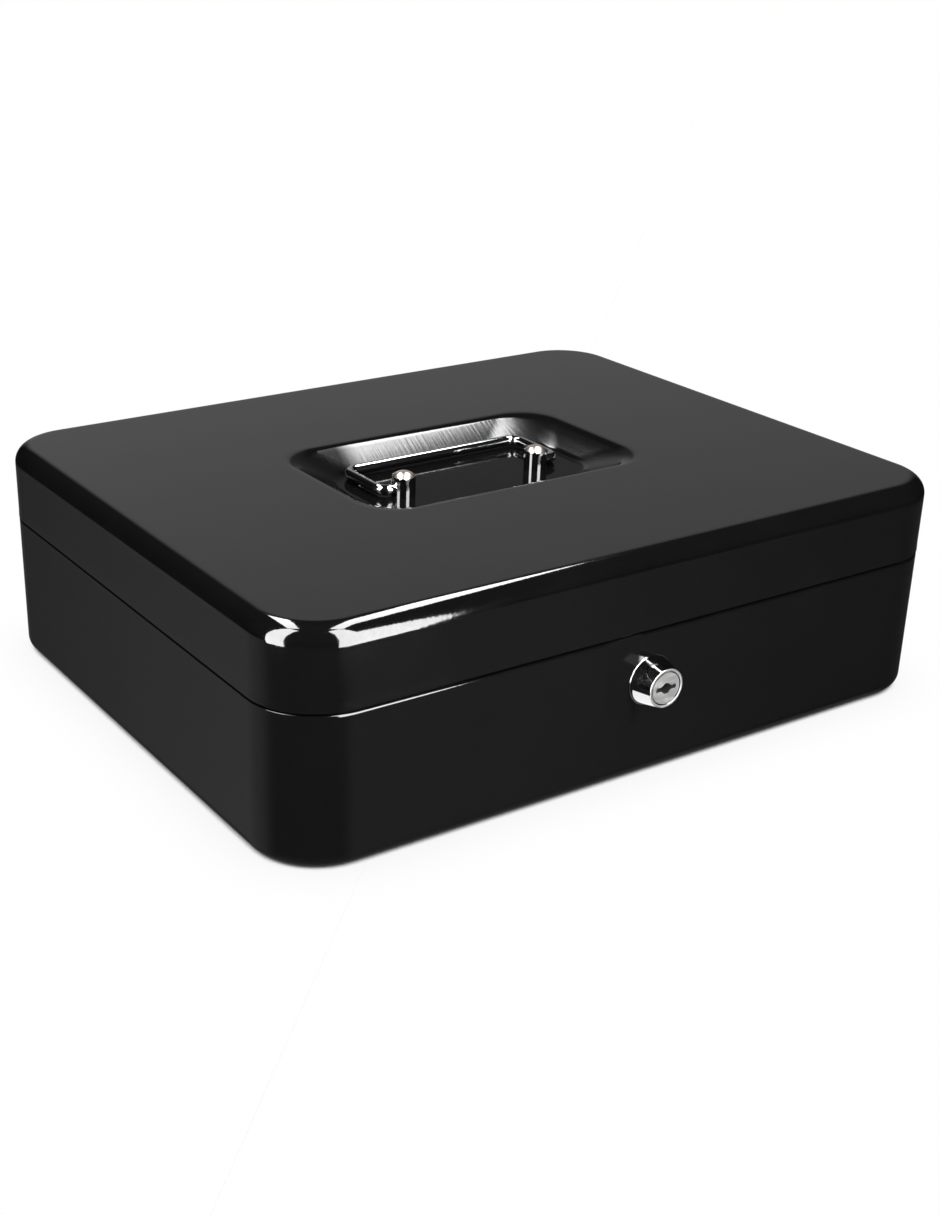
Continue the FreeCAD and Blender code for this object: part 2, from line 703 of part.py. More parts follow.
# Coin tray: a flange that hangs on the base's ledge, a row of scooped coin cups and a bay for notes.
def make_coin_tray():
    body = new_body("coin_tray")
    flange_bottom = neck_top
    flange_top = sized(f"{neck_top} + tray_wall")
    tub_bottom = sized(f"{neck_top} - tub_depth")
    side = sized(f"{half_length} - {neck_inset} - steel - ledge_width - tub_clearance")
    back = sized(f"{half_depth} - {neck_inset} - steel - ledge_width - tub_clearance")
    front = sized(f"lock_space - {half_depth}")
    wall = sized("tray_wall")

    flange = new_sketch(body, "XY_Plane", "flange", flange_bottom)
    margin = sized("tray_margin")
    rounded_rectangle(flange, inset(box_length, margin), inset(box_depth, margin), sized("tray_corner"))
    pad(body, flange, "flange_plate", wall)
    tub = new_sketch(body, "XY_Plane", "tub", tub_bottom)
    tub_middle = f"({back} + {front}) / 2"
    rounded_rectangle(tub, f"2 * {side}", f"{back} - {front}", sized("tub_corner"), "0", tub_middle)
    pad(body, tub, "tub_block", sized("tub_depth"))

    cup_width = f"((2 * {side} - {wall}) / {sized('cup_count')} - {wall})"
    cup_back = f"({front} + {wall} + {sized('cup_length')})"
    first = f"({wall} - {side})"
    deep = f"({flange_top} - {tub_bottom} - {wall})"
    cup_floor = f"({tub_bottom} + {wall})"
    for index in range(int(amount_of(sized("cup_count")))):
        low = f"({first} + {index} * ({cup_width} + {wall}))"
        cup = new_sketch(body, "XY_Plane", f"cup{index}", flange_top)
        rectangle(cup, (low, f"({low} + {cup_width})"), (f"({front} + {wall})", cup_back))
        pocket(body, cup, f"cup_cut{index}", deep)
    bay = new_sketch(body, "XY_Plane", "bay", flange_top)
    bay_front, bay_back = f"({cup_back} + {wall})", f"({back} - {wall})"
    rectangle(bay, (first, f"({side} - {wall})"), (bay_front, bay_back))
    pocket(body, bay, "bay_cut", deep)
    for name, level_y, radius in (
        ("cup_front", f"({front} + {wall})", "cup_radius"),
        ("cup_back", cup_back, "cup_radius"),
        ("bay_front", bay_front, "bay_radius"),
        ("bay_back", bay_back, "bay_radius"),
    ):
        fillet(body, f"{name}_scoop", level_edges(body.Shape, level_y, cup_floor), sized(radius))
    notch = new_sketch(body, "XY_Plane", "notch", flange_top)
    half_notch = sized("tray_notch_width / 2")
    rectangle(notch, (minus(half_notch), half_notch), (minus(half_depth), f"({front} - {wall})"))
    pocket(body, notch, "notch_cut", f"2 * {wall}")


# The edges along X at one depth and height.
def level_edges(shape, y, z):
    names = []
    for index, edge in enumerate(shape.Edges, 1):
        box = edge.BoundBox
        flat = box.YLength < 1e-3 and box.ZLength < 1e-3
        if flat and abs(box.YMin - amount_of(y)) < 1e-3 and abs(box.ZMin - amount_of(z)) < 1e-3:
            names.append(f"Edge{index}")
    return names


# Catch: a bent plate welded inside the lid's front skirt, with a slot that the cam turns into.
def make_lid_catch():
    cam_middle = sized(f"{cam_front} + cam_thickness / 2 - {half_depth}")
    front = f"({cam_middle} - {sized('catch_depth / 2')})"
    back = f"({cam_middle} + {sized('catch_depth / 2')})"
    near, far = sized("catch_offset"), sized("catch_offset + catch_thickness")
    slot_bottom = sized("lock_height - cam_width / 2 - catch_lift")
    slot_top = sized(f"{slot_bottom} + catch_slot_height")
    bottom = sized(f"{slot_bottom} - catch_bar")
    arm_bottom = sized(f"{neck_top} + tray_wall + catch_clearance")
    arm_top = sized(f"{roll_start} - catch_roll_clearance")
    skirt = sized(f"steel - {half_depth}")
    tongue = block("lid_catch_tongue", (near, far), (front, back), (bottom, arm_top))
    arm = block("lid_catch_arm", (near, far), (skirt, front), (arm_bottom, arm_top))
    thick_skirt = sized(f"{skirt} + catch_thickness")
    flange_end = sized(f"{far} + catch_flange_width")
    flange = block("lid_catch_flange", (far, flange_end), (skirt, thick_skirt), (arm_bottom, arm_top))
    edge = sized("catch_side")
    slot_span = (f"({front} + {edge})", f"({back} - {edge})")
    slot = block("lid_catch_slot", (near, far), slot_span, (slot_bottom, slot_top))
    sub_part(cut("lid_catch_bent", join("lid_catch_plate", [tongue, arm, flange]), [slot]), "lid_catch")


# The lock's own frame: X to the right, Y up, Z out of the box's front face.
def set_in_front(body):
    body.Placement = FreeCAD.Placement(FreeCAD.Vector(), FreeCAD.Rotation(FreeCAD.Vector(1, 0, 0), 90))
    body.setExpression("Placement.Base.y", minus(half_depth))
    body.setExpression("Placement.Base.z", sized("lock_height"))


def turned_profile(body, name, points):
    sketch = new_sketch(body, "XZ_Plane", name)
    outline(sketch, points)
    revolve(body, sketch, f"{name}_turned")


face = sized("bezel_length")
head_back = sized("bezel_length - plug_recess - plug_head_length")
rear = sized("0 - lock_body_length")
tail_end = sized(f"0 - {cam_front} - cam_thickness")


def make_lock_housing():
    body = new_body("lock_housing")
    head_bore = sized("plug_diameter / 2 + plug_clearance")
    groove = sized(f"{head_bore} + face_groove_width")
    barrel_bore = sized("plug_barrel_diameter / 2 + plug_clearance")
    shank = sized("lock_body_diameter / 2")
    flange = sized("flange_diameter / 2")
    turned_profile(body, "profile", [
        (barrel_bore, rear), (shank, rear), (shank, "0"), (flange, "0"), (flange, sized("flange_thickness")),
        (sized("bezel_base_diameter / 2"), sized("flange_thickness")), (sized("bezel_diameter / 2"), face),
        (groove, face), (groove, sized(f"{face} - face_groove_depth")),
        (head_bore, sized(f"{face} - face_groove_depth")), (head_bore, head_back), (barrel_bore, head_back),
    ])
    set_in_front(body)

    inside = f"({steel} - {half_depth})"
    washer_back = f"({inside} + {sized('lock_washer_thickness')})"
    hole = sized("lock_body_diameter + 2 * thread_clearance")
    height = sized("lock_height")
    thick = sized("lock_washer_thickness")
    disc = rod("lock_washer_disc", "y", sized("lock_washer_diameter"), thick, ("0", inside, height))
    washer_hole = rod("lock_washer_hole", "y", hole, thick, ("0", inside, height))
    sub_part(cut("lock_washer_ring", disc, [washer_hole]), "lock_washer")

    nut = doc.addObject("Part::Prism", "lock_nut_hexagon")
    nut.Polygon = 6
    nut.setExpression("Circumradius", sized("nut_width / 2 / cos(30deg)"))
    nut.setExpression("Height", sized("nut_thickness"))
    nut.Placement = FreeCAD.Placement(FreeCAD.Vector(), turned_from_z["y"])
    nut.setExpression("Placement.Base.y", washer_back)
    nut.setExpression("Placement.Base.z", height)
    bore = rod("lock_nut_bore", "y", hole, sized("nut_thickness"), ("0", washer_back, height))
    sub_part(cut("lock_nut_bored", nut, [bore]), "lock_nut")


def wafer_span(index):
    low = sized(f"wafer_start + {index} * wafer_pitch")
    return low, sized(f"{low} + wafer_thickness")


wafers = range(int(amount_of(sized("wafer_count"))))
# A wafer is as long as the plug's barrel leaves room for at its width.
wafer_half = sized("wafer_width / 2")
barrel_radius_inner = sized("plug_barrel_diameter / 2 - plug_clearance")
wafer_reach = sized(f"sqrt({barrel_radius_inner} * {barrel_radius_inner} - {wafer_half} * {wafer_half})")
spring_seat = sized("wafer_width / 2 + wafer_clearance")


# Plug: a head behind the bezel's face, a barrel with wafer slots and a square tail for the cam.
def make_lock_plug():
    body = new_body("lock_plug")
    head = sized("plug_diameter / 2")
    front = sized(f"{face} - plug_recess")
    barrel = sized("plug_barrel_diameter / 2")
    turned_profile(body, "profile", [
        ("0", rear), (barrel, rear), (barrel, head_back), (head, head_back), (head, front), ("0", front),
    ])
    tail = new_sketch(body, "XY_Plane", "tail", rear)
    half_tail = sized("square_tail / 2")
    rectangle(tail, (minus(half_tail), half_tail), (minus(half_tail), half_tail))
    pad(body, tail, "tail_pad", f"{rear} - {tail_end}", True)

    keyway = new_sketch(body, "XY_Plane", "keyway", front)
    long, tall = sized("keyway_length / 2"), sized("keyway_height / 2")
    bulge, flat = sized("keyway_bulge_length / 2"), sized("keyway_bulge_flat / 2")
    high = sized("keyway_bulge_height / 2")
    right = [(bulge, tall), (long, tall), (long, minus(tall)), (bulge, minus(tall))]
    below = [(flat, minus(high)), (minus(flat), minus(high))]
    left = [(minus(x), minus(y)) for x, y in right]
    outline(keyway, right + below + left + [(minus(flat), high), (flat, high)])
    pocket(body, keyway, "keyway_cut", sized("keyway_depth"))

    for index in wafers:
        low, high_end = wafer_span(index)
        slot = new_sketch(body, "XY_Plane", f"wafer_slot{index}", f"{sized('wafer_clearance')} - {low}")
        half_slot = sized("wafer_width / 2 + wafer_clearance")
        rectangle(slot, (minus(barrel), barrel), (minus(half_slot), half_slot))
        pocket(body, slot, f"wafer_cut{index}", sized("wafer_thickness + 2 * wafer_clearance"))
        nest = new_sketch(body, "XZ_Plane", f"spring_nest{index}", minus(barrel))
        middle = f"0 - ({low} + {high_end}) / 2"
        circle(nest, "0", middle, sized("spring_diameter + 2 * wafer_clearance"))
        pocket(body, nest, f"spring_cut{index}", f"{barrel} - {half_slot}", True)
    screw_hole = new_sketch(body, "XY_Plane", "screw_hole", tail_end)
    circle(screw_hole, "0", "0", sized("screw_diameter + 2 * thread_clearance"))
    pocket(body, screw_hole, "screw_cut", sized("screw_length"), True)
    set_in_front(body)


# Wafers and springs lie in the plug, set where a key would hold them.
def make_wafers():
    plates = []
    springs = []
    height = sized("lock_height")
    for index in wafers:
        low, high = wafer_span(index)
        y_span = (f"({low} - {half_depth})", f"({high} - {half_depth})")
        x_span = (minus(wafer_reach), wafer_reach)
        z_span = (f"({height} - {wafer_half})", f"({height} + {wafer_half})")
        plate = block(f"wafer{index}", x_span, y_span, z_span)
        window_x, window_z = sized(f"{wafer_reach} - wafer_web"), sized("keyway_height")
        window = block(
            f"wafer_window{index}",
            (minus(window_x), window_x), y_span, (f"({height} - {window_z})", f"({height} + {window_z})"),
        )
        plates.append(cut(f"wafer_plate{index}", plate, [window]))
        middle = f"(({low} + {high}) / 2 - {half_depth})"
        length = sized(f"{barrel_radius_inner} - {spring_seat} - spring_headroom")
        place = ("0", middle, f"({height} + {spring_seat})")
        coil = rod(f"wafer_spring{index}", "z", sized("spring_diameter"), length, place)
        bore = rod(f"wafer_spring_bore{index}", "z", sized("spring_bore"), length, place)
        springs.append(cut(f"wafer_spring_coil{index}", coil, [bore]))
    for label, solids in (("wafer_tumblers", plates), ("wafer_springs", springs)):
        group = doc.addObject("Part::Compound", f"{label}_group")
        group.Links = solids
        sub_part(group, label)


# Cam: a flat bar on the plug's tail, up when unlocked and turned to the catch when locked.
def make_lock_cam():
    body = new_body("lock_cam")
    plate = new_sketch(body, "XY_Plane", "plate", minus(cam_front))
    half_cam = sized("cam_width / 2")
    length = sized(f"cam_length + {half_cam}")
    middle = f"({length}) / 2 - {half_cam}"
    rounded_rectangle(plate, f"2 * {half_cam}", length, sized("cam_corner"), "0", middle)
    pad(body, plate, "plate_pad", sized("cam_thickness"), True)
    hole = new_sketch(body, "XY_Plane", "square", minus(cam_front))
    half_hole = sized("square_tail / 2 + tail_clearance")
    rectangle(hole, (minus(half_hole), half_hole), (minus(half_hole), half_hole))
    pocket(body, hole, "square_cut", sized("cam_thickness"))
    set_in_front(body)

    height = sized("lock_height")
    start = f"(0 - {tail_end} - {half_depth})"
    thick = sized("cam_washer_thickness")
    disc = rod("cam_washer_disc", "y", sized("cam_washer_diameter"), thick, ("0", start, height))
    hole_diameter = sized("screw_diameter + 2 * thread_clearance")
    washer_hole = rod("cam_washer_hole", "y", hole_diameter, thick, ("0", start, height))
    sub_part(cut("cam_washer_ring", disc, [washer_hole]), "cam_washer")

    head_start = f"({start} + {thick})"
    head_height = sized("screw_head_height")
    head = rod("cam_screw_head", "y", sized("screw_head_diameter"), head_height, ("0", head_start, height))
    reach = sized("screw_length")
    shank_place = ("0", f"({head_start} - {reach})", height)
    shank = rod("cam_screw_shank", "y", sized("screw_diameter"), reach, shank_place)
    half_slot, half_head = sized("screw_slot_width / 2"), sized("screw_head_diameter / 2")
    slot_floor = f"({head_start} + {head_height} - {sized('screw_slot_depth')})"
    slot = block(
        "cam_screw_slot",
        (minus(half_head), half_head),
        (slot_floor, f"({head_start} + {head_height})"),
        (f"({height} - {half_slot})", f"({height} + {half_slot})"),
    )
    sub_part(cut("cam_screw_slotted", join("cam_screw_turned", [head, shank]), [slot]), "cam_screw")


make_base_shell()
make_lid_shell()
for side_name, side_sign in left_right:
    make_hinge(side_name, side_sign)
    make_handle_post(side_name, side_sign)
make_handle_bail()
make_coin_tray()
make_lid_catch()
make_lock_housing()
make_lock_plug()
make_wafers()
make_lock_cam()
doc.recompute()

for feature in doc.Objects:
    if "Invalid" in feature.State or "Error" in feature.State:
        raise ValueError(f"{feature.Label} did not build: {feature.State}")
for piece in sub_parts:
    if piece.Shape.isNull() or not piece.Shape.isValid():
        raise ValueError(f"{piece.Label} is not a sound solid")

os.makedirs("parts", exist_ok=True)
for piece in sub_parts:
    piece.Shape.exportStep(f"parts/{piece.Label}.step")
    box = piece.Shape.BoundBox
    print(piece.Label, len(piece.Shape.Solids), round(piece.Shape.Volume, 1),
          [round(edge, 2) for edge in (box.XMin, box.YMin, box.ZMin, box.XMax, box.YMax, box.ZMax)])
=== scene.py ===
import math
import bpy
import numpy as np
from mathutils import Matrix, Vector


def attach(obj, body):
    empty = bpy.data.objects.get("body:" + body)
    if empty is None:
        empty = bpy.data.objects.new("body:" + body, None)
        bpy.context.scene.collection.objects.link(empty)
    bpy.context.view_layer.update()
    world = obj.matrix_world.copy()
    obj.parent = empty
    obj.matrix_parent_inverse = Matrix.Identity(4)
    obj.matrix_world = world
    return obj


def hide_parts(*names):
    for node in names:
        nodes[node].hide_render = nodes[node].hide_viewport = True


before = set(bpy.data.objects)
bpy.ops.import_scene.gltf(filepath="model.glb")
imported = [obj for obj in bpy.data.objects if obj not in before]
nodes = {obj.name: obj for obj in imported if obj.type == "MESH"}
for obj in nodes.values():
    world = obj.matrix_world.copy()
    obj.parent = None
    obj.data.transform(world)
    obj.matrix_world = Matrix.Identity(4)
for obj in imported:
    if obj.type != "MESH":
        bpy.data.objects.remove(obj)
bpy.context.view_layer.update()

mm = 0.001
print("frame loaded")


# Node helpers
def newMaterial(name):
    material = bpy.data.materials.new(name)
    material.use_nodes = True
    tree = material.node_tree
    return material, tree, tree.nodes["Principled BSDF"]


def emptyTree(owner):
    owner.use_nodes = True
    owner.node_tree.nodes.clear()
    return owner.node_tree


def addNode(tree, kind, **settings):
    node = tree.nodes.new(kind)
    for name, value in settings.items():
        setattr(node, name, value)
    return node


# A socket's value: a link where another node's socket is given, otherwise a constant set on the socket.
def setInput(tree, node, name, value):
    socket = node.inputs[name]
    if isinstance(value, bpy.types.NodeSocket):
        tree.links.new(value, socket)
    else:
        socket.default_value = value


def calc(tree, operation, first, second=0.0, third=0.0):
    node = addNode(tree, "ShaderNodeMath", operation=operation)
    for index, value in enumerate((first, second, third)):
        setInput(tree, node, index, value)
    return node.outputs[0]


def product(tree, first, *others):
    total = first
    for value in others:
        total = calc(tree, "MULTIPLY", total, value)
    return total


# Smooth step of a value from the low level at the start to the high level at the end.
def ramp(tree, value, start, end, low=0.0, high=1.0):
    node = addNode(tree, "ShaderNodeMapRange", interpolation_type="SMOOTHSTEP")
    for index, amount in enumerate((value, start, end, low, high)):
        setInput(tree, node, index, amount)
    return node.outputs[0]


def noise(tree, coords, scale, detail, roughness):
    node = addNode(tree, "ShaderNodeTexNoise")
    setInput(tree, node, "Vector", coords)
    setInput(tree, node, "Scale", scale)
    setInput(tree, node, "Detail", detail)
    setInput(tree, node, "Roughness", roughness)
    return node.outputs["Fac"]


# Colour between two tints, each three numbers or a colour socket.
# A Mix node takes its colours at inputs 6 and 7 and gives the result at output 2.
def tintBetween(tree, amount, first, second):
    node = addNode(tree, "ShaderNodeMix", data_type="RGBA")
    setInput(tree, node, 0, amount)
    for index, tint in ((6, first), (7, second)):
        setInput(tree, node, index, tint if isinstance(tint, bpy.types.NodeSocket) else (*tint, 1.0))
    return node.outputs[2]


def shaderBetween(tree, amount, first, second):
    node = addNode(tree, "ShaderNodeMixShader")
    for index, value in enumerate((amount, first, second)):
        tree.links.new(value, node.inputs[index])
    return node.outputs[0]


def bumpFrom(tree, height, strength, distance, under=None):
    node = addNode(tree, "ShaderNodeBump")
    if under is not None:
        setInput(tree, node, "Normal", under)
    setInput(tree, node, "Height", height)
    setInput(tree, node, "Strength", strength)
    setInput(tree, node, "Distance", distance)
    return node.outputs["Normal"]


def objectCoords(tree, stretch=None):
    coords = addNode(tree, "ShaderNodeTexCoord").outputs["Object"]
    if stretch is None:
        return coords
    mapping = addNode(tree, "ShaderNodeMapping")
    setInput(tree, mapping, "Vector", coords)
    mapping.inputs["Scale"].default_value = stretch
    return mapping.outputs["Vector"]


def splitAxes(tree, coords):
    node = addNode(tree, "ShaderNodeSeparateXYZ")
    tree.links.new(coords, node.inputs[0])
    return node.outputs


# Black stoved enamel: deep gloss with a fine orange peel, drawing streaks on the dish's wall, and three zones
# of less gloss; beside the lock the colour is also lifted, a painted reflection of the lock in the front
# wall.
# A noise is scale, detail and roughness; a zone's edge, in metres, is where it starts and where it holds in
# full.
enamelLook = {
    "dark": (0.0013, 0.0013, 0.0014), "light": (0.0022, 0.0022, 0.0022), "index": 1.6, "gloss": 0.5,
    "cloud": (38.0, 3.0, 0.5), "cloudRange": (0.2, 0.8), "rough": (0.05, 0.085),
    "mottle": 0.05, "mottleNoise": (420.0, 3.0, 0.6), "mottleRange": (0.25, 0.75),
    "peel": (620.0, 1.5, 0.4), "peelStrength": 0.10, "peelHeight": 0.00012,
    "streak": (900.0, 2.0, 0.5), "streakStretch": (1.0, 0.05, 0.05),
    "streakStrength": 0.42, "streakHeight": 0.0002,
    "dishX": (0.0670, 0.0650), "dishY": (0.0420, 0.0400),
    "wallFoot": (0.0805, 0.0815), "wallTop": (0.0872, 0.0862), "wallRough": 0.19,
    "dishFloor": (0.0806, 0.0802), "floorGloss": 0.035,
    "dishRim": (0.08797, 0.0877), "brightLeft": (-0.038, -0.026), "brightRight": (0.060, 0.047),
    "endGloss": 0.022,
    "frontWall": (-0.1185, -0.1195), "lockHeight": 0.0384, "aroundLock": (0.0280, 0.0180), "upward": 0.65,
    "leftOfLock": (-0.0040, -0.0065),
    # The tint beside the lock is lighter than the enamel: a painted reflection of the lock in the front wall.
    "dullGloss": 0.008, "dullRough": 0.03, "paintedReflectionTint": (0.0038, 0.0038, 0.0039),
}


# Zones, each a product of soft steps: the dish's wall, its floor, the wall's ends, and the front by the lock,
# where the gloss is cut and a painted reflection of the lock is tinted in.
def enamelZones(tree, coords):
    look = enamelLook
    x, y, z = splitAxes(tree, coords)
    alongDish = ramp(tree, calc(tree, "ABSOLUTE", x), *look["dishX"])
    acrossDish = ramp(tree, calc(tree, "ABSOLUTE", y), *look["dishY"])
    inDish = product(tree, alongDish, acrossDish)
    onWall = product(tree, ramp(tree, z, *look["wallFoot"]), ramp(tree, z, *look["wallTop"]))
    wall = product(tree, inDish, onWall)
    floor = product(tree, inDish, ramp(tree, z, *look["dishFloor"]))
    bright = product(tree, ramp(tree, x, *look["brightLeft"]), ramp(tree, x, *look["brightRight"]))
    offFloor, offBright = (calc(tree, "SUBTRACT", 1.0, zone) for zone in (floor, bright))
    ends = product(tree, inDish, ramp(tree, z, *look["dishRim"]), offFloor, offBright)
    # distance from the lock's axis, with heights above it counted less
    rise = calc(tree, "SUBTRACT", z, look["lockHeight"])
    rise = calc(tree, "MINIMUM", rise, calc(tree, "MULTIPLY", rise, look["upward"]))
    fromLock = calc(tree, "SQRT", calc(tree, "MULTIPLY_ADD", x, x, calc(tree, "MULTIPLY", rise, rise)))
    onFront = product(tree, ramp(tree, y, *look["frontWall"]), ramp(tree, x, *look["leftOfLock"]))
    # beside the lock: less gloss, and a lighter colour painted in as the lock's reflection
    dullAndPaintedReflection = product(tree, onFront, ramp(tree, fromLock, *look["aroundLock"]))
    return wall, floor, ends, dullAndPaintedReflection


def makeEnamel():
    look = enamelLook
    material, tree, shader = newMaterial("blackEnamel")
    coords = objectCoords(tree)
    wall, floor, ends, dullAndPaintedReflection = enamelZones(tree, coords)
    cloud = noise(tree, coords, *look["cloud"])
    tint = tintBetween(tree, cloud, look["dark"], look["light"])
    # beside the lock the colour is lifted to a painted reflection of the lock
    setInput(tree, shader, "Base Color", tintBetween(tree, dullAndPaintedReflection, tint, look["paintedReflectionTint"]))
    rough = ramp(tree, cloud, *look["cloudRange"], *look["rough"])
    rough = calc(tree, "MULTIPLY_ADD", wall, look["wallRough"], rough)
    setInput(tree, shader, "Roughness", calc(tree, "MULTIPLY_ADD", dullAndPaintedReflection, look["dullRough"], rough))
    peel = bumpFrom(tree, noise(tree, coords, *look["peel"]), look["peelStrength"], look["peelHeight"])
    streak = noise(tree, objectCoords(tree, look["streakStretch"]), *look["streak"])
    drawn = calc(tree, "MULTIPLY", wall, look["streakStrength"])
    setInput(tree, shader, "Normal", bumpFrom(tree, streak, drawn, look["streakHeight"], peel))
    gloss = look["gloss"]
    for zone, level in ((dullAndPaintedReflection, look["dullGloss"]), (floor, look["floorGloss"]), (ends, look["endGloss"])):
        gloss = calc(tree, "MULTIPLY_ADD", zone, level - look["gloss"], gloss)
    specks = noise(tree, coords, *look["mottleNoise"])
    mottle = ramp(tree, specks, *look["mottleRange"], 1.0 - look["mottle"], 1.0 + look["mottle"])
    setInput(tree, shader, "Specular IOR Level", calc(tree, "MULTIPLY", gloss, mottle))
    shader.inputs["IOR"].default_value = look["index"]
    return material


# Metals share one recipe: tint and roughness between two levels, and a fine grain that may be stretched.
# A crown is an end with its own tint and more roughness, between two places along one axis.
metalGrain = {"detail": 3.0, "roughness": 0.5, "range": (0.25, 0.75), "height": 0.00005}
brightChrome = {
    "dark": (0.62, 0.63, 0.64), "light": (0.70, 0.70, 0.70), "rough": (0.03, 0.06),
    "scale": 90.0, "bump": 0.02,
}
metalLooks = {
    "chrome": brightChrome,
    "postChrome": {
        **brightChrome, "dark": (0.60, 0.60, 0.60), "light": (0.68, 0.67, 0.66),
        "crownAxis": 2, "crown": (0.0871, 0.0874), "crownTint": (0.78, 0.68, 0.60), "crownRough": 0.22,
    },
    "bezelChrome": {
        **brightChrome,
        "crownAxis": 1, "crown": (-0.12878, -0.12894), "crownTint": (0.62, 0.61, 0.60), "crownRough": 0.30,
    },
    "lockNickel": {
        "dark": (0.29, 0.29, 0.285), "light": (0.42, 0.415, 0.41), "rough": (0.36, 0.48),
        "scale": 900.0, "stretch": (0.15, 1.0, 1.0), "bump": 0.12,
    },
    "zincSteel": {
        "dark": (0.42, 0.43, 0.45), "light": (0.66, 0.67, 0.68), "rough": (0.28, 0.44),
        "scale": 240.0, "bump": 0.10,
    },
    "waferBrass": {
        "dark": (0.62, 0.42, 0.16), "light": (0.80, 0.60, 0.28), "rough": (0.22, 0.36),
        "scale": 700.0, "bump": 0.08,
    },
    "springSteel": {
        "dark": (0.40, 0.40, 0.42), "light": (0.60, 0.60, 0.62), "rough": (0.2, 0.32),
        "scale": 800.0, "bump": 0.06,
    },
}


def makeMetal(name):
    look = metalLooks[name]
    material, tree, shader = newMaterial(name)
    coords = objectCoords(tree, look.get("stretch"))
    cloud = noise(tree, coords, look["scale"], metalGrain["detail"], metalGrain["roughness"])
    tint = tintBetween(tree, cloud, look["dark"], look["light"])
    rough = ramp(tree, cloud, *metalGrain["range"], *look["rough"])
    if "crown" in look:
        crown = ramp(tree, splitAxes(tree, objectCoords(tree))[look["crownAxis"]], *look["crown"])
        tint = tintBetween(tree, crown, tint, look["crownTint"])
        rough = calc(tree, "MULTIPLY_ADD", crown, look["crownRough"], rough)
    setInput(tree, shader, "Base Color", tint)
    setInput(tree, shader, "Roughness", rough)
    setInput(tree, shader, "Normal", bumpFrom(tree, cloud, look["bump"], metalGrain["height"]))
    shader.inputs["Metallic"].default_value = 1.0
    return material


# Moulded tray: dark plastic with a fine spark grain.
trayLook = {
    "dark": (0.011, 0.011, 0.0115), "light": (0.020, 0.020, 0.021), "cloud": (55.0, 4.0, 0.5),
    "rough": (0.42, 0.56),
    "grain": (1500.0, 2.0, 0.5), "grainRange": (0.3, 0.7), "grainStrength": 0.25, "grainHeight": 0.0001,
}


def makeTrayPlastic():
    look = trayLook
    material, tree, shader = newMaterial("trayPlastic")
    coords = objectCoords(tree)
    cloud = noise(tree, coords, *look["cloud"])
    grain = noise(tree, coords, *look["grain"])
    setInput(tree, shader, "Base Color", tintBetween(tree, cloud, look["dark"], look["light"]))
    setInput(tree, shader, "Roughness", ramp(tree, grain, *look["grainRange"], *look["rough"]))
    setInput(tree, shader, "Normal", bumpFrom(tree, grain, look["grainStrength"], look["grainHeight"]))
    return material


enamel = makeEnamel()
metals = {name: makeMetal(name) for name in metalLooks}
trayPlastic = makeTrayPlastic()
print("materials made")


# Mesh helpers
def addPiece(name, vertices, faces, body, material, replaced, sharpAngle):
    mesh = bpy.data.meshes.new(name)
    mesh.from_pydata(vertices.reshape(-1, 3) * mm, [], faces)
    mesh.validate()
    piece = bpy.data.objects.new(name, mesh)
    bpy.context.collection.objects.link(piece)
    mesh.polygons.foreach_set("use_smooth", np.ones(len(mesh.polygons), dtype=bool))
    mesh.set_sharp_from_angle(angle=math.radians(sharpAngle))
    mesh.materials.append(material)
    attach(piece, body)
    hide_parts(*replaced)


# Quads between each pair of rows of a grid whose columns close on themselves.
def gridFaces(below, above, columns):
    here = np.arange(columns)
    after = (here + 1) % columns
    low, high = np.asarray(below)[:, None] * columns, np.asarray(above)[:, None] * columns
    quads = np.stack([low + here, low + after, high + after, high + here], axis=-1)
    return quads.reshape(-1, 4).tolist()


# A skin of rows: quads between neighbouring rows, and a flat cap on the first row and on the last.
def cappedFaces(rows, columns):
    place = np.arange(rows)
    around = np.arange(columns)
    caps = [around[::-1].tolist(), (around + (rows - 1) * columns).tolist()]
    return gridFaces(place[:-1], place[1:], columns) + caps


# Arc of a circle in the profile's plane: centre plus radius times cosine and sine of each angle.
def arc(centre, radius, startDegrees, endDegrees, steps):
    angle = np.radians(np.linspace(startDegrees, endDegrees, steps + 1))
    points = np.stack([centre[0] + radius * np.cos(angle), centre[1] + radius * np.sin(angle)], axis=-1)
    return points.tolist()


# Smooth step: three times the square less twice the cube, held between 0 and 1.
def smoothStep(value):
    held = np.clip(value, 0.0, 1.0)
    return held * held * (3.0 - 2.0 * held)


# Unit directions along a row of points.
def headings(points):
    ahead = np.gradient(points, axis=0)
    return ahead / np.linalg.norm(ahead, axis=1, keepdims=True)


# The rounded rectangle that the pressed shells follow, with the hinge notches cut in its back run.
shellSizes = {
    "halfLength": 150.0, "halfDepth": 120.0, "corner": 26.0,
    "arcSteps": 28, "straightSteps": 10, "cornerRoom": 0.8, "sharpAngle": 50.0,
    "hingeX": 85.0, "lidNotchHalf": 20.3, "earNear": 6.367, "earFar": 20.3,
    "notchRoom": 2.0, "notchStep": 0.01,
}


# Shares of a straight run where columns stand; on the back run two close columns stand at each notch side.
def runStops(run, notched):
    size = shellSizes
    margin = size["cornerRoom"] / run
    between = np.linspace(0, 1, size["straightSteps"] + 1)[1:-1]
    stops = np.concatenate([[margin], between, [1 - margin]])
    if not notched:
        return stops
    hinges = np.array([-size["hingeX"], size["hingeX"]])
    marks = np.array([-size["lidNotchHalf"], -size["earNear"], size["earNear"], size["earFar"]])
    cuts = 0.5 - (hinges[:, None] + marks).ravel() / run
    step = size["notchStep"] / run
    stops = stops[np.abs(stops[:, None] - cuts).min(axis=1) > size["notchRoom"] / run]
    return np.sort(np.concatenate([stops, cuts - step, cuts + step]))


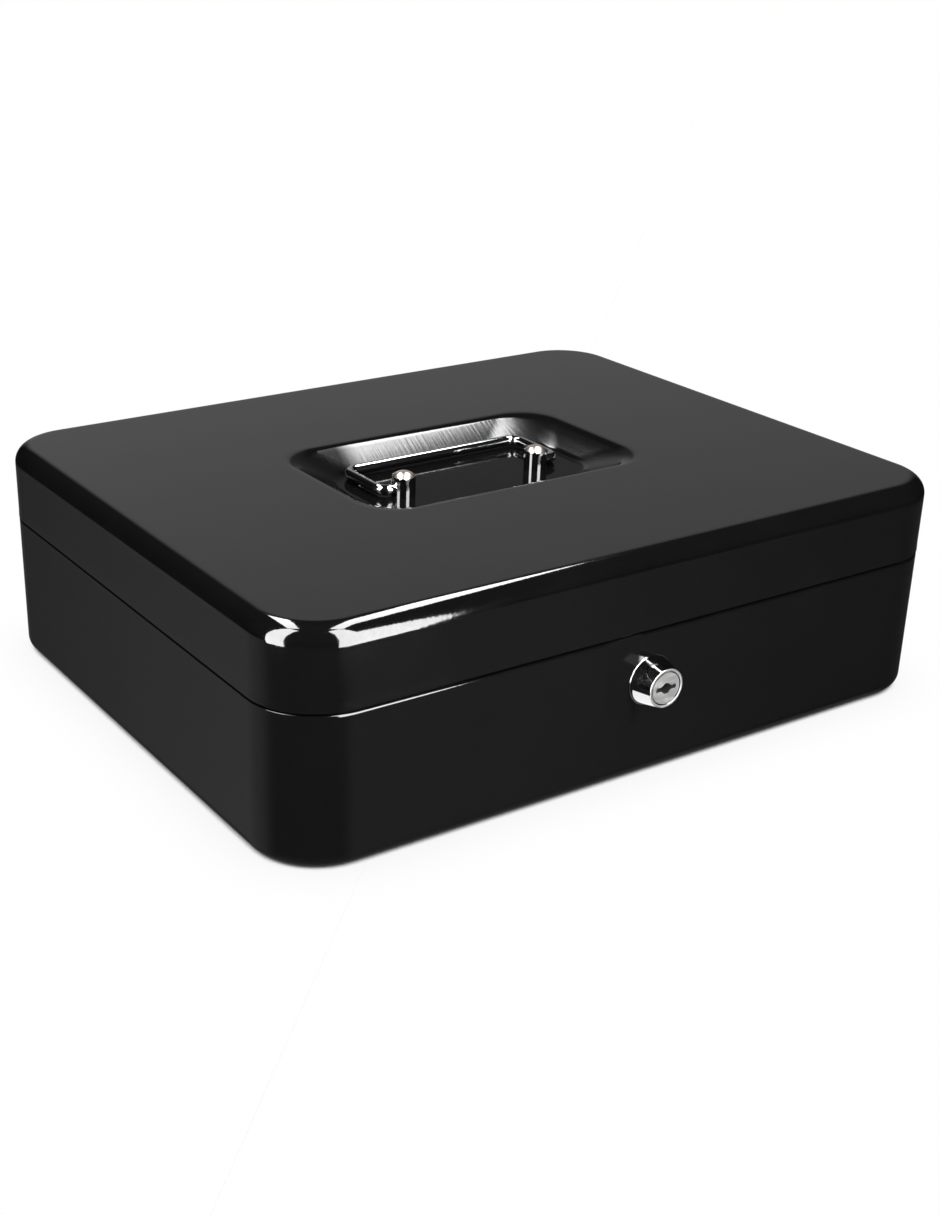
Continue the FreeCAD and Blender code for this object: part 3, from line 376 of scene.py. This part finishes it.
# Columns in turn, a corner and then a run: the corner each leaves, the corner it goes to, its share of the
# way between them and its outward direction.
def pathColumns():
    size = shellSizes
    signs = np.array([(1, 1), (-1, 1), (-1, -1), (1, -1)], dtype=float)
    runs = [2 * (size["halfLength"] - size["corner"]), 2 * (size["halfDepth"] - size["corner"])] * 2
    parts = []
    for turn, run in enumerate(runs):
        onCorner = np.linspace(0, 90, size["arcSteps"] + 1)
        onRun = runStops(run, turn == 0)
        degrees = 90.0 * turn + np.concatenate([onCorner, np.full(len(onRun), 90.0)])
        share = np.concatenate([np.zeros(len(onCorner)), onRun])
        leaves = np.tile(signs[turn], (len(share), 1))
        reaches = np.where(share[:, None] > 0, signs[(turn + 1) % 4], leaves)
        angle = np.radians(degrees)
        parts.append((leaves, reaches, share, np.stack([np.cos(angle), np.sin(angle)], axis=-1)))
    return [np.concatenate(part) for part in zip(*parts)]


fromSign, toSign, runShare, outward = pathColumns()
columnCount = len(runShare)


# A ring: each column's corner centre, slid along straight runs, plus the corner radius along its direction.
def ring(halfLength, halfDepth, radius):
    reach = np.array([halfLength - radius, halfDepth - radius])
    centre = fromSign * reach + (toSign - fromSign) * reach * runShare[:, None]
    return centre + radius * outward


def shellRing(inset):
    size = shellSizes
    return ring(size["halfLength"] - inset, size["halfDepth"] - inset, size["corner"] - inset)


def atHeight(flat, height):
    return np.concatenate([flat, np.broadcast_to(height, columnCount)[:, None]], axis=1)


def addShell(name, rows, body, replaced):
    faces = cappedFaces(len(rows), columnCount)
    addPiece(name, np.stack(rows), faces, body, enamel, replaced, shellSizes["sharpAngle"])


onBack = np.isclose(outward[:, 1], 1.0) & (runShare > 0)
fromHinge = np.abs(np.abs(shellRing(0.0)[:, 0]) - shellSizes["hingeX"])
inLidNotch = onBack & (fromHinge < shellSizes["lidNotchHalf"])
inEarSlot = onBack & (fromHinge > shellSizes["earNear"]) & (fromHinge < shellSizes["earFar"])

# Lid, in millimetres. The bead fades by shares of itself at heights from the hem's top, and the fold's ease
# is how far in and how far up from there. A guard is a row beside a round that keeps its neighbour flat.
lidSizes = {
    "top": 88.0, "steel": 0.8, "roll": 7.0, "rollSteps": 18, "innerRollSteps": 14, "guard": 0.6,
    "hemBottom": 58.1, "hemTop": 60.3, "hemRound": 0.4, "hemFlat": 0.9, "fold": 1.6, "foldRound": 0.5,
    "foldEase": ((0.0, 0.6), (0.1, 0.1)), "bead": 0.10, "beadLand": 0.7,
    "beadFade": ((0.9, -1.0), (0.1, 1.0), (0.0, 2.0)), "notchTop": 60.65, "topShares": (0.15, 0.4, 0.7, 0.9),
    "recessHalfLength": 64.2, "recessHalfWidth": 39.3, "recessCorner": 17.5, "cornerShare": -0.45,
    "run": 12.4, "depth": 8.0, "rimReach": 2.2, "floorReach": 0.9, "slopeAtRim": 0.435, "slopeAtFloor": 0.72,
    "dishSamples": 1200, "dishSteps": 40, "dishEvenness": 0.0006,
}


# Dish profile: the slope rises at the rim, grows evenly down the wall and falls to zero at the floor.
# The drop is the running sum of the slope, scaled to the depth. Rows stand closer where the slope changes.
def dishProfile():
    s = lidSizes
    sample = np.arange(s["dishSamples"])
    place = np.linspace(0.0, 1.0, len(sample))
    spread = s["rimReach"] - place * (s["rimReach"] + s["run"] + s["floorReach"])
    downWall = np.clip(-spread / s["run"], 0.0, 1.0)
    slope = s["slopeAtRim"] + (s["slopeAtFloor"] - s["slopeAtRim"]) * downWall
    into = np.clip((s["rimReach"] - spread) / (2 * s["rimReach"]), 0.0, 1.0)
    outOf = np.clip((spread + s["run"] + s["floorReach"]) / (2 * s["floorReach"]), 0.0, 1.0)
    slope = slope * into * outOf
    drop = np.concatenate([[0.0], np.cumsum((slope[1:] + slope[:-1]) / 2 * -np.diff(spread))])
    drop *= s["depth"] / drop[-1]
    bend = np.cumsum(np.abs(np.gradient(slope)) + s["dishEvenness"])
    picked = np.interp(np.linspace(bend[0], bend[-1], s["dishSteps"]), bend, sample)
    return np.stack([np.interp(picked, sample, spread), np.interp(picked, sample, drop)], axis=-1)


# A profile moved square to itself, to the inside of the sheet.
def offsetProfile(profile, distance):
    ahead = headings(profile)
    return profile + distance * np.stack([ahead[:, 1], -ahead[:, 0]], axis=-1)


# Skirt rows: a ring at each inset and height, lifted over the hinges in the back.
def skirtRows(profile):
    rows = []
    for inset, height in profile:
        heights = np.where(inLidNotch, max(height, lidSizes["notchTop"]), height)
        rows.append(atHeight(shellRing(inset), heights))
    return rows


def dishRow(spread, height):
    s = lidSizes
    corner = s["recessCorner"] + spread * s["cornerShare"]
    return atHeight(ring(s["recessHalfLength"] + spread, s["recessHalfWidth"] + spread, corner), height)


# Lid profile in words: under the dish's floor, up its wall, under the top, down the skirt's inside, round
# the hem, up the skirt's outside, over the quarter-round roll, along the top and down the dish to its floor.
def makeLid():
    s = lidSizes
    steel, top, roll, guard, bead = s["steel"], s["top"], s["roll"], s["guard"], s["bead"]
    bottom, hemTop, hemRound, foldRound = s["hemBottom"], s["hemTop"], s["hemRound"], s["foldRound"]
    dish = dishProfile()
    floorSpread = dish[-1, 0] - guard
    edge, rim = shellRing(roll + guard), dishRow(s["rimReach"] + guard, top)

    def topRow(share, height):
        return atHeight(edge + (rim[:, :2] - edge) * share, height)

    inner = [dishRow(floorSpread, top - s["depth"] - steel)]
    inner += [dishRow(spread, top - drop) for spread, drop in offsetProfile(dish, steel)[::-1]]
    inner += [topRow(share, top - steel) for share in (*s["topShares"][::-1], 0.0)]
    inside = arc((roll, top - roll), roll - steel, 90, 180, s["innerRollSteps"])
    inside += [(steel + further, hemTop + up) for further, up in s["foldEase"]]
    inside += arc((s["fold"] - foldRound, hemTop - foldRound), foldRound, 90, 0, steps=4)
    inside += arc((s["fold"] - hemRound, bottom + hemRound), hemRound, 0, -90, steps=4)
    outside = [(s["hemFlat"], bottom)]
    outside += arc((hemRound - bead, bottom + hemRound), hemRound, -90, -180, steps=5)
    outside += [(-bead, bottom + s["beadLand"])]
    outside += [(-bead * share, hemTop + up) for share, up in s["beadFade"]]
    outside += [(0.0, top - roll - guard)]
    outside += arc((roll, top - roll), roll, 180, 90, s["rollSteps"]) + [(roll + guard, top)]
    outer = [topRow(share, top) for share in s["topShares"]] + [rim]
    outer += [dishRow(spread, top - drop) for spread, drop in dish]
    outer += [dishRow(floorSpread, top - s["depth"])]
    addShell("lidSkin", inner + skirtRows(inside + outside) + outer, "lid", ["lid_shell"])


# Base, in millimetres. Its shoulder is crisper on the left, where the outward direction's x is past leftFrom.
baseSizes = {
    "edge": 5.0, "edgeSteps": 14, "innerEdgeSteps": 12, "steel": 0.8, "top": 57.4, "guard": 0.6,
    "shoulder": 0.8, "shoulderLand": 0.1, "leftShoulder": 0.12, "leftFrom": 0.35, "leftSpan": 0.3,
    "neckInset": 2.15, "neckTop": 67.0, "neckRoot": 0.3, "neckRound": 0.6, "ledge": 6.0, "ledgeRound": 0.35,
    "innerRound": 0.4, "slotFloor": 54.55, "slotDepth": 1.6, "slotStep": 0.01, "slotLand": 0.2,
}


# Wall rows: a ring at each inset and height, with the shoulder scaled by column and the hinge slots sunk.
def wallRows(profile):
    s = baseSizes
    wall = shellRing(0.0)
    toLeft = smoothStep((-outward[:, 0] - s["leftFrom"]) / s["leftSpan"])
    crisp = 1.0 + (s["leftShoulder"] / s["shoulder"] - 1.0) * toLeft
    rows = []
    for inset, height in profile:
        onShoulder = inset <= s["shoulder"] and s["top"] - s["shoulder"] <= height <= s["top"]
        scale = crisp if onShoulder else np.ones(columnCount)
        heights = s["top"] - (s["top"] - height) * scale
        if inset < s["slotDepth"]:
            heights = np.where(inEarSlot, np.minimum(heights, s["slotFloor"]), heights)
        rows.append(atHeight(wall - outward * (inset * scale)[:, None], heights))
    return rows


# Base profile in words: flat bottom, edge round, wall, shoulder round, neck, ledge turned in, back inside.
def makeBase():
    s = baseSizes
    steel, edge, guard, top, shoulder = s["steel"], s["edge"], s["guard"], s["top"], s["shoulder"]
    neck, neckTop, neckRound = s["neckInset"], s["neckTop"], s["neckRound"]
    root, innerRound, ledgeRound = s["neckRoot"], s["innerRound"], s["ledgeRound"]
    ledgeEnd = neck + steel + s["ledge"] - ledgeRound
    neckInside, shelf = neck + steel, top - steel
    profile = [(edge + guard, 0.0)] + arc((edge, edge), edge, -90, -180, s["edgeSteps"])
    profile += [(0.0, edge + guard), (0.0, top - shoulder - s["shoulderLand"])]
    profile += arc((shoulder, top - shoulder), shoulder, 180, 90, steps=6)
    profile += [(s["slotDepth"] - s["slotStep"], top), (s["slotDepth"] + s["slotStep"], top)]
    profile += arc((neck - root, top + root), root, -90, 0, steps=4)
    profile += arc((neck + neckRound, neckTop - neckRound), neckRound, 180, 90, steps=5)
    profile += arc((ledgeEnd, neckTop - ledgeRound), ledgeRound, 90, 0, steps=3)
    profile += arc((ledgeEnd, neckTop - steel + ledgeRound), ledgeRound, 0, -90, steps=3)
    profile += arc((neckInside + innerRound, neckTop - steel - innerRound), innerRound, 90, 180, steps=4)
    profile += [(neckInside, shelf + root), (neckInside - root, shelf)]
    profile += [(steel + innerRound, shelf), (steel, shelf - innerRound)]
    profile += [(steel, s["slotFloor"] - s["slotLand"])]
    profile += arc((edge, edge), edge - steel, 180, 270, s["innerEdgeSteps"]) + [(edge + guard, steel)]
    addShell("baseSkin", wallRows(profile), "base", ["base_shell"])


makeLid()
makeBase()
print("shells made")

# Bail, in millimetres: the wire's radius, and its path's half from the middle of the grip to the pivot's end.
bailSizes = {
    "wire": 2.1, "end": 30.8, "arm": 42.0, "reach": 27.5, "elbow": 4.0, "corner": 5.0,
    "pivotY": -5.7, "pivotZ": 82.6, "gripGuard": 8.0, "guard": 0.4, "endGuard": 0.6, "endChamfer": 0.5,
    "sides": 40, "bendSteps": 12, "sharpAngle": 40.0,
}


# Bail: a circle of the wire's radius carried along the bent path, its plane square to the path.
def makeBail():
    s = bailSizes
    elbow, corner, arm, reach, guard = s["elbow"], s["corner"], s["arm"], s["reach"], s["guard"]
    half = [(0.0, reach), (arm - corner - s["gripGuard"], reach), (arm - corner - guard, reach)]
    half += arc((arm - corner, reach - corner), corner, 90, 0, s["bendSteps"])
    half += [(arm, reach - corner - guard), (arm, elbow + guard)]
    half += arc((arm - elbow, elbow), elbow, 0, -90, s["bendSteps"])
    half += [(arm - elbow - guard, 0.0), (s["end"] + s["endGuard"], 0.0), (s["end"], 0.0)]
    right = np.array(half)
    path = np.concatenate([right[::-1], right[1:] * np.array([-1.0, 1.0])])
    ahead = headings(path)
    side = np.stack([-ahead[:, 1], ahead[:, 0]], axis=-1)
    turn = np.linspace(0, 2 * np.pi, s["sides"], endpoint=False)
    radius = np.full(len(path), s["wire"])
    radius[[0, -1]] -= s["endChamfer"]
    flat = path[:, None] + (radius[:, None] * np.cos(turn))[..., None] * side[:, None]
    height = radius[:, None] * np.sin(turn) + s["pivotZ"]
    rows = np.concatenate([flat + np.array([0.0, s["pivotY"]]), height[..., None]], axis=-1)
    faces = cappedFaces(len(path), s["sides"])
    addPiece("bailWire", rows, faces, "handle", metals["chrome"], ["handle_bail"], s["sharpAngle"])


makeBail()
print("bail made")

# Lock housing, in millimetres: radii about the lock's axis and distances out of the front wall.
bezelSizes = {
    "lockZ": 38.4, "wallY": -120.0, "sides": 96, "sharpAngle": 24.0,
    "flangeRadius": 9.8, "flangeThick": 0.4, "flangeRound": 0.15, "flangeChamfer": 0.1,
    "baseRadius": 9.5, "faceRadius": 7.5, "faceOut": 9.0, "lip": 0.15,
    "coneShares": (0.0, 0.02, 0.25, 0.5, 0.75, 0.95, 0.955),
    "grooveOuter": 6.55, "grooveInner": 6.15, "grooveDepth": 0.8, "grooveRound": 0.12,
    "headBore": 6.15, "headBack": 5.8, "barrelBore": 5.25,
    "bodyRadius": 8.0, "bodyLength": 17.0, "bodyChamfer": 0.4, "bodyRelief": (0.3, 0.01),
}


# Lock housing: a closed profile of radius and distance out of the wall, turned about the lock's axis.
def makeBezel():
    s = bezelSizes
    body, length, chamfer = s["bodyRadius"], s["bodyLength"], s["bodyChamfer"]
    flange, flangeRound, flangeChamfer = s["flangeRadius"], s["flangeRound"], s["flangeChamfer"]
    lip, face, grooveRound = s["lip"], s["faceOut"], s["grooveRound"]
    grooveFloor = face - s["grooveDepth"]
    reliefOut, reliefBack = s["bodyRelief"]
    cone = math.atan2(s["baseRadius"] - s["faceRadius"], face - s["flangeThick"])
    foot = np.array([s["baseRadius"], s["flangeThick"]])
    lipCentre = np.array([s["faceRadius"] - lip, face - lip])
    tip = lipCentre + lip * np.array([math.cos(cone), math.sin(cone)])
    profile = [(s["barrelBore"], -length), (body - chamfer, -length), (body, chamfer - length)]
    profile += [(body, -reliefBack), (body + reliefOut, 0.0)]
    profile += [(flange - flangeChamfer, 0.0), (flange, flangeChamfer)]
    profile += arc((flange - flangeRound, s["flangeThick"] - flangeRound), flangeRound, 0, 90, steps=5)
    profile += (foot + (tip - foot) * np.array(s["coneShares"])[:, None]).tolist()
    profile += arc(lipCentre, lip, math.degrees(cone), 90, steps=8)
    profile += arc((s["grooveOuter"] + grooveRound, face - grooveRound), grooveRound, 90, 180, steps=3)
    profile += [(s["grooveOuter"], grooveFloor), (s["grooveInner"], grooveFloor)]
    profile += [(s["headBore"], s["headBack"]), (s["barrelBore"], s["headBack"])]
    radius, out = np.array(profile).T[:, :, None]
    turn = np.linspace(0, 2 * np.pi, s["sides"], endpoint=False)
    y = np.broadcast_to(s["wallY"] - out, (len(profile), s["sides"]))
    rows = np.stack([radius * np.cos(turn), y, s["lockZ"] + radius * np.sin(turn)], axis=-1)
    place = np.arange(len(profile))
    faces = gridFaces(place, np.roll(place, -1), s["sides"])
    finish = metals["bezelChrome"]
    addPiece("lockBezel", rows, faces, "base", finish, ["lock_housing"], s["sharpAngle"])


makeBezel()
print("lock housing made")

# The turned, bent and moulded pieces keep their own solids: each has a finish and, in millimetres, how far
# its edges are softened. Those with 0 keep the solid's own normals.
nodeLooks = {
    "handle_post_left": ("postChrome", 0.0), "handle_post_right": ("postChrome", 0.0),
    "post_washer_left": ("zincSteel", 0.15), "post_washer_right": ("zincSteel", 0.15),
    "lock_plug": ("lockNickel", 0.0), "wafer_tumblers": ("waferBrass", 0.0),
    "wafer_springs": ("springSteel", 0.0),
    "lock_washer": ("zincSteel", 0.15), "lock_nut": ("zincSteel", 0.3), "lock_cam": ("zincSteel", 0.2),
    "cam_washer": ("zincSteel", 0.1), "cam_screw": ("zincSteel", 0.15), "lid_catch": ("zincSteel", 0.2),
    "base_hinge_leaf_left": ("zincSteel", 0.2), "base_hinge_leaf_right": ("zincSteel", 0.2),
    "lid_hinge_leaf_left": ("zincSteel", 0.2), "lid_hinge_leaf_right": ("zincSteel", 0.2),
    "hinge_pin_left": ("springSteel", 0.0), "hinge_pin_right": ("springSteel", 0.0),
    "coin_tray": ("trayPlastic", 0.6),
}
softening = {"merge": 0.000005, "segments": 3, "fromAngle": 35.0, "weight": 50}


def finishNode(name, finish, soften):
    node = nodes[name]
    mesh = node.data
    mesh.materials.clear()
    mesh.materials.append(trayPlastic if finish == "trayPlastic" else metals[finish])
    if not soften:
        return
    mesh.polygons.foreach_set("use_smooth", np.ones(len(mesh.polygons), dtype=bool))
    weld = node.modifiers.new("weld", "WELD")
    weld.merge_threshold = softening["merge"]
    bevel = node.modifiers.new("soften", "BEVEL")
    bevel.width = soften * mm
    bevel.segments = softening["segments"]
    bevel.limit_method = "ANGLE"
    bevel.angle_limit = math.radians(softening["fromAngle"])
    even = node.modifiers.new("even", "WEIGHTED_NORMAL")
    even.weight = softening["weight"]


for nodeName, (finish, soften) in nodeLooks.items():
    finishNode(nodeName, finish, soften)
print("nodes finished")


# A flat four-sided piece of the studio.
def addCard(name, corners, material):
    mesh = bpy.data.meshes.new(name)
    mesh.from_pydata(corners, [], [(0, 1, 2, 3)])
    mesh.materials.append(material)
    card = bpy.data.objects.new(name, mesh)
    bpy.context.collection.objects.link(card)
    return card


# Floor: white to the camera, with a faint shade where the box stands close, and dim paper to other rays.
# A shade is a ramp over how open the floor is: where it starts and ends, and the light at both.
floorLook = {
    "reach": 40.0, "paper": (0.35, 0.35, 0.35, 1.0), "openSamples": 8, "openDistance": 0.03,
    "contactShade": (0.16, 0.42, 0.01, 1.0), "wideShade": (0.2, 1.0, 0.90, 1.0),
}


def makeFloor():
    look = floorLook
    material = bpy.data.materials.new("floorPaper")
    tree = emptyTree(material)
    openness = addNode(tree, "ShaderNodeAmbientOcclusion", samples=look["openSamples"])
    openness.inputs["Distance"].default_value = look["openDistance"]
    shades = [ramp(tree, openness.outputs["AO"], *look[name]) for name in ("contactShade", "wideShade")]
    seen = addNode(tree, "ShaderNodeEmission")
    setInput(tree, seen, "Strength", product(tree, *shades))
    paper = addNode(tree, "ShaderNodeBsdfDiffuse")
    paper.inputs["Color"].default_value = look["paper"]
    byCamera = addNode(tree, "ShaderNodeLightPath").outputs["Is Camera Ray"]
    out = addNode(tree, "ShaderNodeOutputMaterial")
    tree.links.new(shaderBetween(tree, byCamera, paper.outputs[0], seen.outputs[0]), out.inputs[0])
    reach = look["reach"]
    corners = [(-reach, -reach, 0), (reach, -reach, 0), (reach, reach, 0), (-reach, reach, 0)]
    floor = addCard("floor", corners, material)
    floor.visible_glossy = False


studioHeading = 35.0  # degrees from the y axis; the strips and the room are laid out along it

# Lamps, in metres from an origin by the front left corner: two strips overhead, two upright panels, each a
# heading and its two ends sideways, and a small card by the front wall, in place, that the lock mirrors.
lampSizes = {
    "glow": 15.5, "origin": (-0.130, -0.105), "stripHeight": 0.600, "stripAlong": (-0.077, 0.540),
    "strips": {"leftStrip": (-0.242, -0.128), "rightStrip": (0.128, 0.278)},
    "panelDistance": 0.600, "panelHeights": (-0.154, 1.440),
    "panels": {"leftPanel": (-93.0, -0.129, 0.177), "rightPanel": (162.5, -0.186, 0.160)},
    "lockCard": ((-0.0115, 0.0347), (-0.029, 0.016), (-0.012, 0.002), (0.006, 0.020)), "lockCardY": -0.1202,
    "lockCardGlow": 1.3,
}


# A lamp: a glowing card, clear from behind and unseen by the camera.
def makeLamp(name, corners, strength):
    material = bpy.data.materials.new(name)
    tree = emptyTree(material)
    glow = addNode(tree, "ShaderNodeEmission")
    glow.inputs["Strength"].default_value = strength
    clear = addNode(tree, "ShaderNodeBsdfTransparent")
    behind = addNode(tree, "ShaderNodeNewGeometry").outputs["Backfacing"]
    out = addNode(tree, "ShaderNodeOutputMaterial")
    tree.links.new(shaderBetween(tree, behind, glow.outputs[0], clear.outputs[0]), out.inputs[0])
    lamp = addCard(name, corners, material)
    lamp.visible_camera = False
    lamp.visible_shadow = False


# Unit vectors of a heading in degrees from the y axis: sideways to its right, and onward.
def compass(degrees):
    angle = math.radians(degrees)
    return np.array([math.cos(angle), -math.sin(angle)]), np.array([math.sin(angle), math.cos(angle)])


def makeLamps():
    s = lampSizes
    origin = np.array(s["origin"])
    sideways, onward = compass(studioHeading)
    first, last = s["stripAlong"]
    for name, (near, far) in s["strips"].items():
        grid = np.array([(near, first), (near, last), (far, last), (far, first)])
        flat = origin + grid[:, :1] * sideways + grid[:, 1:] * onward
        makeLamp(name, np.concatenate([flat, np.full((4, 1), s["stripHeight"])], axis=1), s["glow"])
    low, high = s["panelHeights"]
    for name, (heading, *ends) in s["panels"].items():
        along, out = compass(heading)
        start, end = (origin + s["panelDistance"] * out + reach * along for reach in ends)
        makeLamp(name, np.array([(*start, low), (*end, low), (*end, high), (*start, high)]), s["glow"])
    card = np.array([(x, s["lockCardY"], z) for x, z in s["lockCard"]])
    makeLamp("lockCard", card, s["lockCardGlow"])


# Room that the box mirrors: levels of light, and the degrees of rise and of swing from the studio's heading
# where one level gives way to the next. To the camera it is white.
room = {
    "low": 0.004, "high": 0.012, "rise": (18.0, 34.0),
    "side": 0.02, "sideSwing": (64.0, 84.0), "sideRise": (-12.0, 4.0),
    "backdrop": 0.285, "backdropLean": -0.012, "backdropSwing": (14.0, 30.0),
    "backdropFoot": (-36.0, -24.0), "backdropTop": (28.0, 40.0),
    "groundRise": (-13.0, -19.0), "groundNear": 0.10, "nearRise": (-40.0, -44.0), "groundCamera": 0.05,
    "groundFar": 0.073, "groundBack": 0.198, "backSwing": (53.0, 66.0), "leftSwing": (92.0, 124.0),
    "groundSide": 0.035, "groundFront": 0.142, "frontSwing": (90.0, 113.0), "rightSwing": (113.0, 140.0),
    "white": (1.0, 1.0, 1.0, 1.0),
}


# Degrees of rise above level, and of lean to the right of the studio's heading, of the direction looked in.
def roomAngles(tree):
    x, y, up = splitAxes(tree, addNode(tree, "ShaderNodeTexCoord").outputs["Generated"])
    across, away = (
        calc(tree, "MULTIPLY_ADD", x, axis[0], calc(tree, "MULTIPLY", y, axis[1]))
        for axis in compass(studioHeading)
    )
    rise = calc(tree, "DEGREES", calc(tree, "ARCSINE", up))
    return rise, calc(tree, "DEGREES", calc(tree, "ARCTAN2", across, away))


# Light by direction: the brighter of backdrop and ground, plus the brighter of upper room and sides.
def roomLight(tree):
    s = room
    rise, lean = roomAngles(tree)
    swing = calc(tree, "ABSOLUTE", lean)
    uneven = calc(tree, "MULTIPLY_ADD", lean, s["backdropLean"], 1.0)
    backdrop = product(tree, ramp(tree, swing, *s["backdropSwing"], s["backdrop"], 0.0), uneven)
    foot, head = ramp(tree, rise, *s["backdropFoot"]), ramp(tree, rise, *s["backdropTop"], 1.0, 0.0)
    left = ramp(tree, swing, *s["backSwing"], s["groundFar"], s["groundBack"])
    left = ramp(tree, swing, *s["leftSwing"], left, s["groundCamera"])
    right = ramp(tree, swing, *s["frontSwing"], s["groundSide"], s["groundFront"])
    right = ramp(tree, swing, *s["rightSwing"], right, s["groundCamera"])
    toRight = calc(tree, "GREATER_THAN", lean, 0.0)
    glow = calc(tree, "MULTIPLY_ADD", toRight, calc(tree, "SUBTRACT", right, left), left)
    glow = ramp(tree, rise, *s["nearRise"], glow, s["groundNear"])
    ground = product(tree, ramp(tree, rise, *s["groundRise"]), glow)
    upper = ramp(tree, rise, *s["rise"], s["low"], s["high"])
    aside = ramp(tree, swing, *s["sideSwing"], 0.0, s["side"])
    aside = product(tree, aside, ramp(tree, rise, *s["sideRise"]))
    below = calc(tree, "MAXIMUM", product(tree, foot, head, backdrop), ground)
    return calc(tree, "ADD", below, calc(tree, "MAXIMUM", upper, aside))


def makeRoom():
    world = bpy.data.worlds.new("studio")
    bpy.context.scene.world = world
    tree = emptyTree(world)
    light = addNode(tree, "ShaderNodeBackground")
    seen = addNode(tree, "ShaderNodeBackground")
    for background in (light, seen):
        background.inputs["Color"].default_value = room["white"]
    setInput(tree, light, "Strength", roomLight(tree))
    byCamera = addNode(tree, "ShaderNodeLightPath").outputs["Is Camera Ray"]
    out = addNode(tree, "ShaderNodeOutputWorld")
    tree.links.new(shaderBetween(tree, byCamera, light.outputs[0], seen.outputs[0]), out.inputs[0])


makeFloor()
makeLamps()
makeRoom()
print("studio made")

# Camera: place, angles and lens found from the photograph's outline, for an image of 940 by 1215.
cameraFit = {
    "place": (-0.392461, -0.550854, 0.310327), "yaw": 32.937, "pitch": 24.708, "roll": -0.7795,
    "focal": 1769.726, "centre": (385.570, 657.013), "image": (940.0, 1215.0),
    "sensor": 36.0, "clip": (0.01, 100.0),
}


def makeCamera():
    s = cameraFit
    yaw, pitch, roll = (math.radians(s[name]) for name in ("yaw", "pitch", "roll"))
    ahead = Vector((math.sin(yaw) * math.cos(pitch), math.cos(yaw) * math.cos(pitch), -math.sin(pitch)))
    level = Vector((math.cos(yaw), -math.sin(yaw), 0.0))
    down = ahead.cross(level)
    right = math.cos(roll) * level + math.sin(roll) * down
    under = -math.sin(roll) * level + math.cos(roll) * down
    data = bpy.data.cameras.new("camera")
    camera = bpy.data.objects.new("camera", data)
    bpy.context.collection.objects.link(camera)
    columns = Matrix((right, -under, -ahead)).transposed()
    camera.matrix_world = Matrix.Translation(s["place"]) @ columns.to_4x4()
    width, height = s["image"]
    data.sensor_width = s["sensor"]
    data.lens = s["focal"] * s["sensor"] / height
    data.shift_x = (width / 2 - s["centre"][0]) / height
    data.shift_y = (s["centre"][1] - height / 2) / height
    data.clip_start, data.clip_end = s["clip"]
    bpy.context.scene.camera = camera


makeCamera()
bpy.context.scene.view_settings.view_transform = "Standard"
print("camera made")
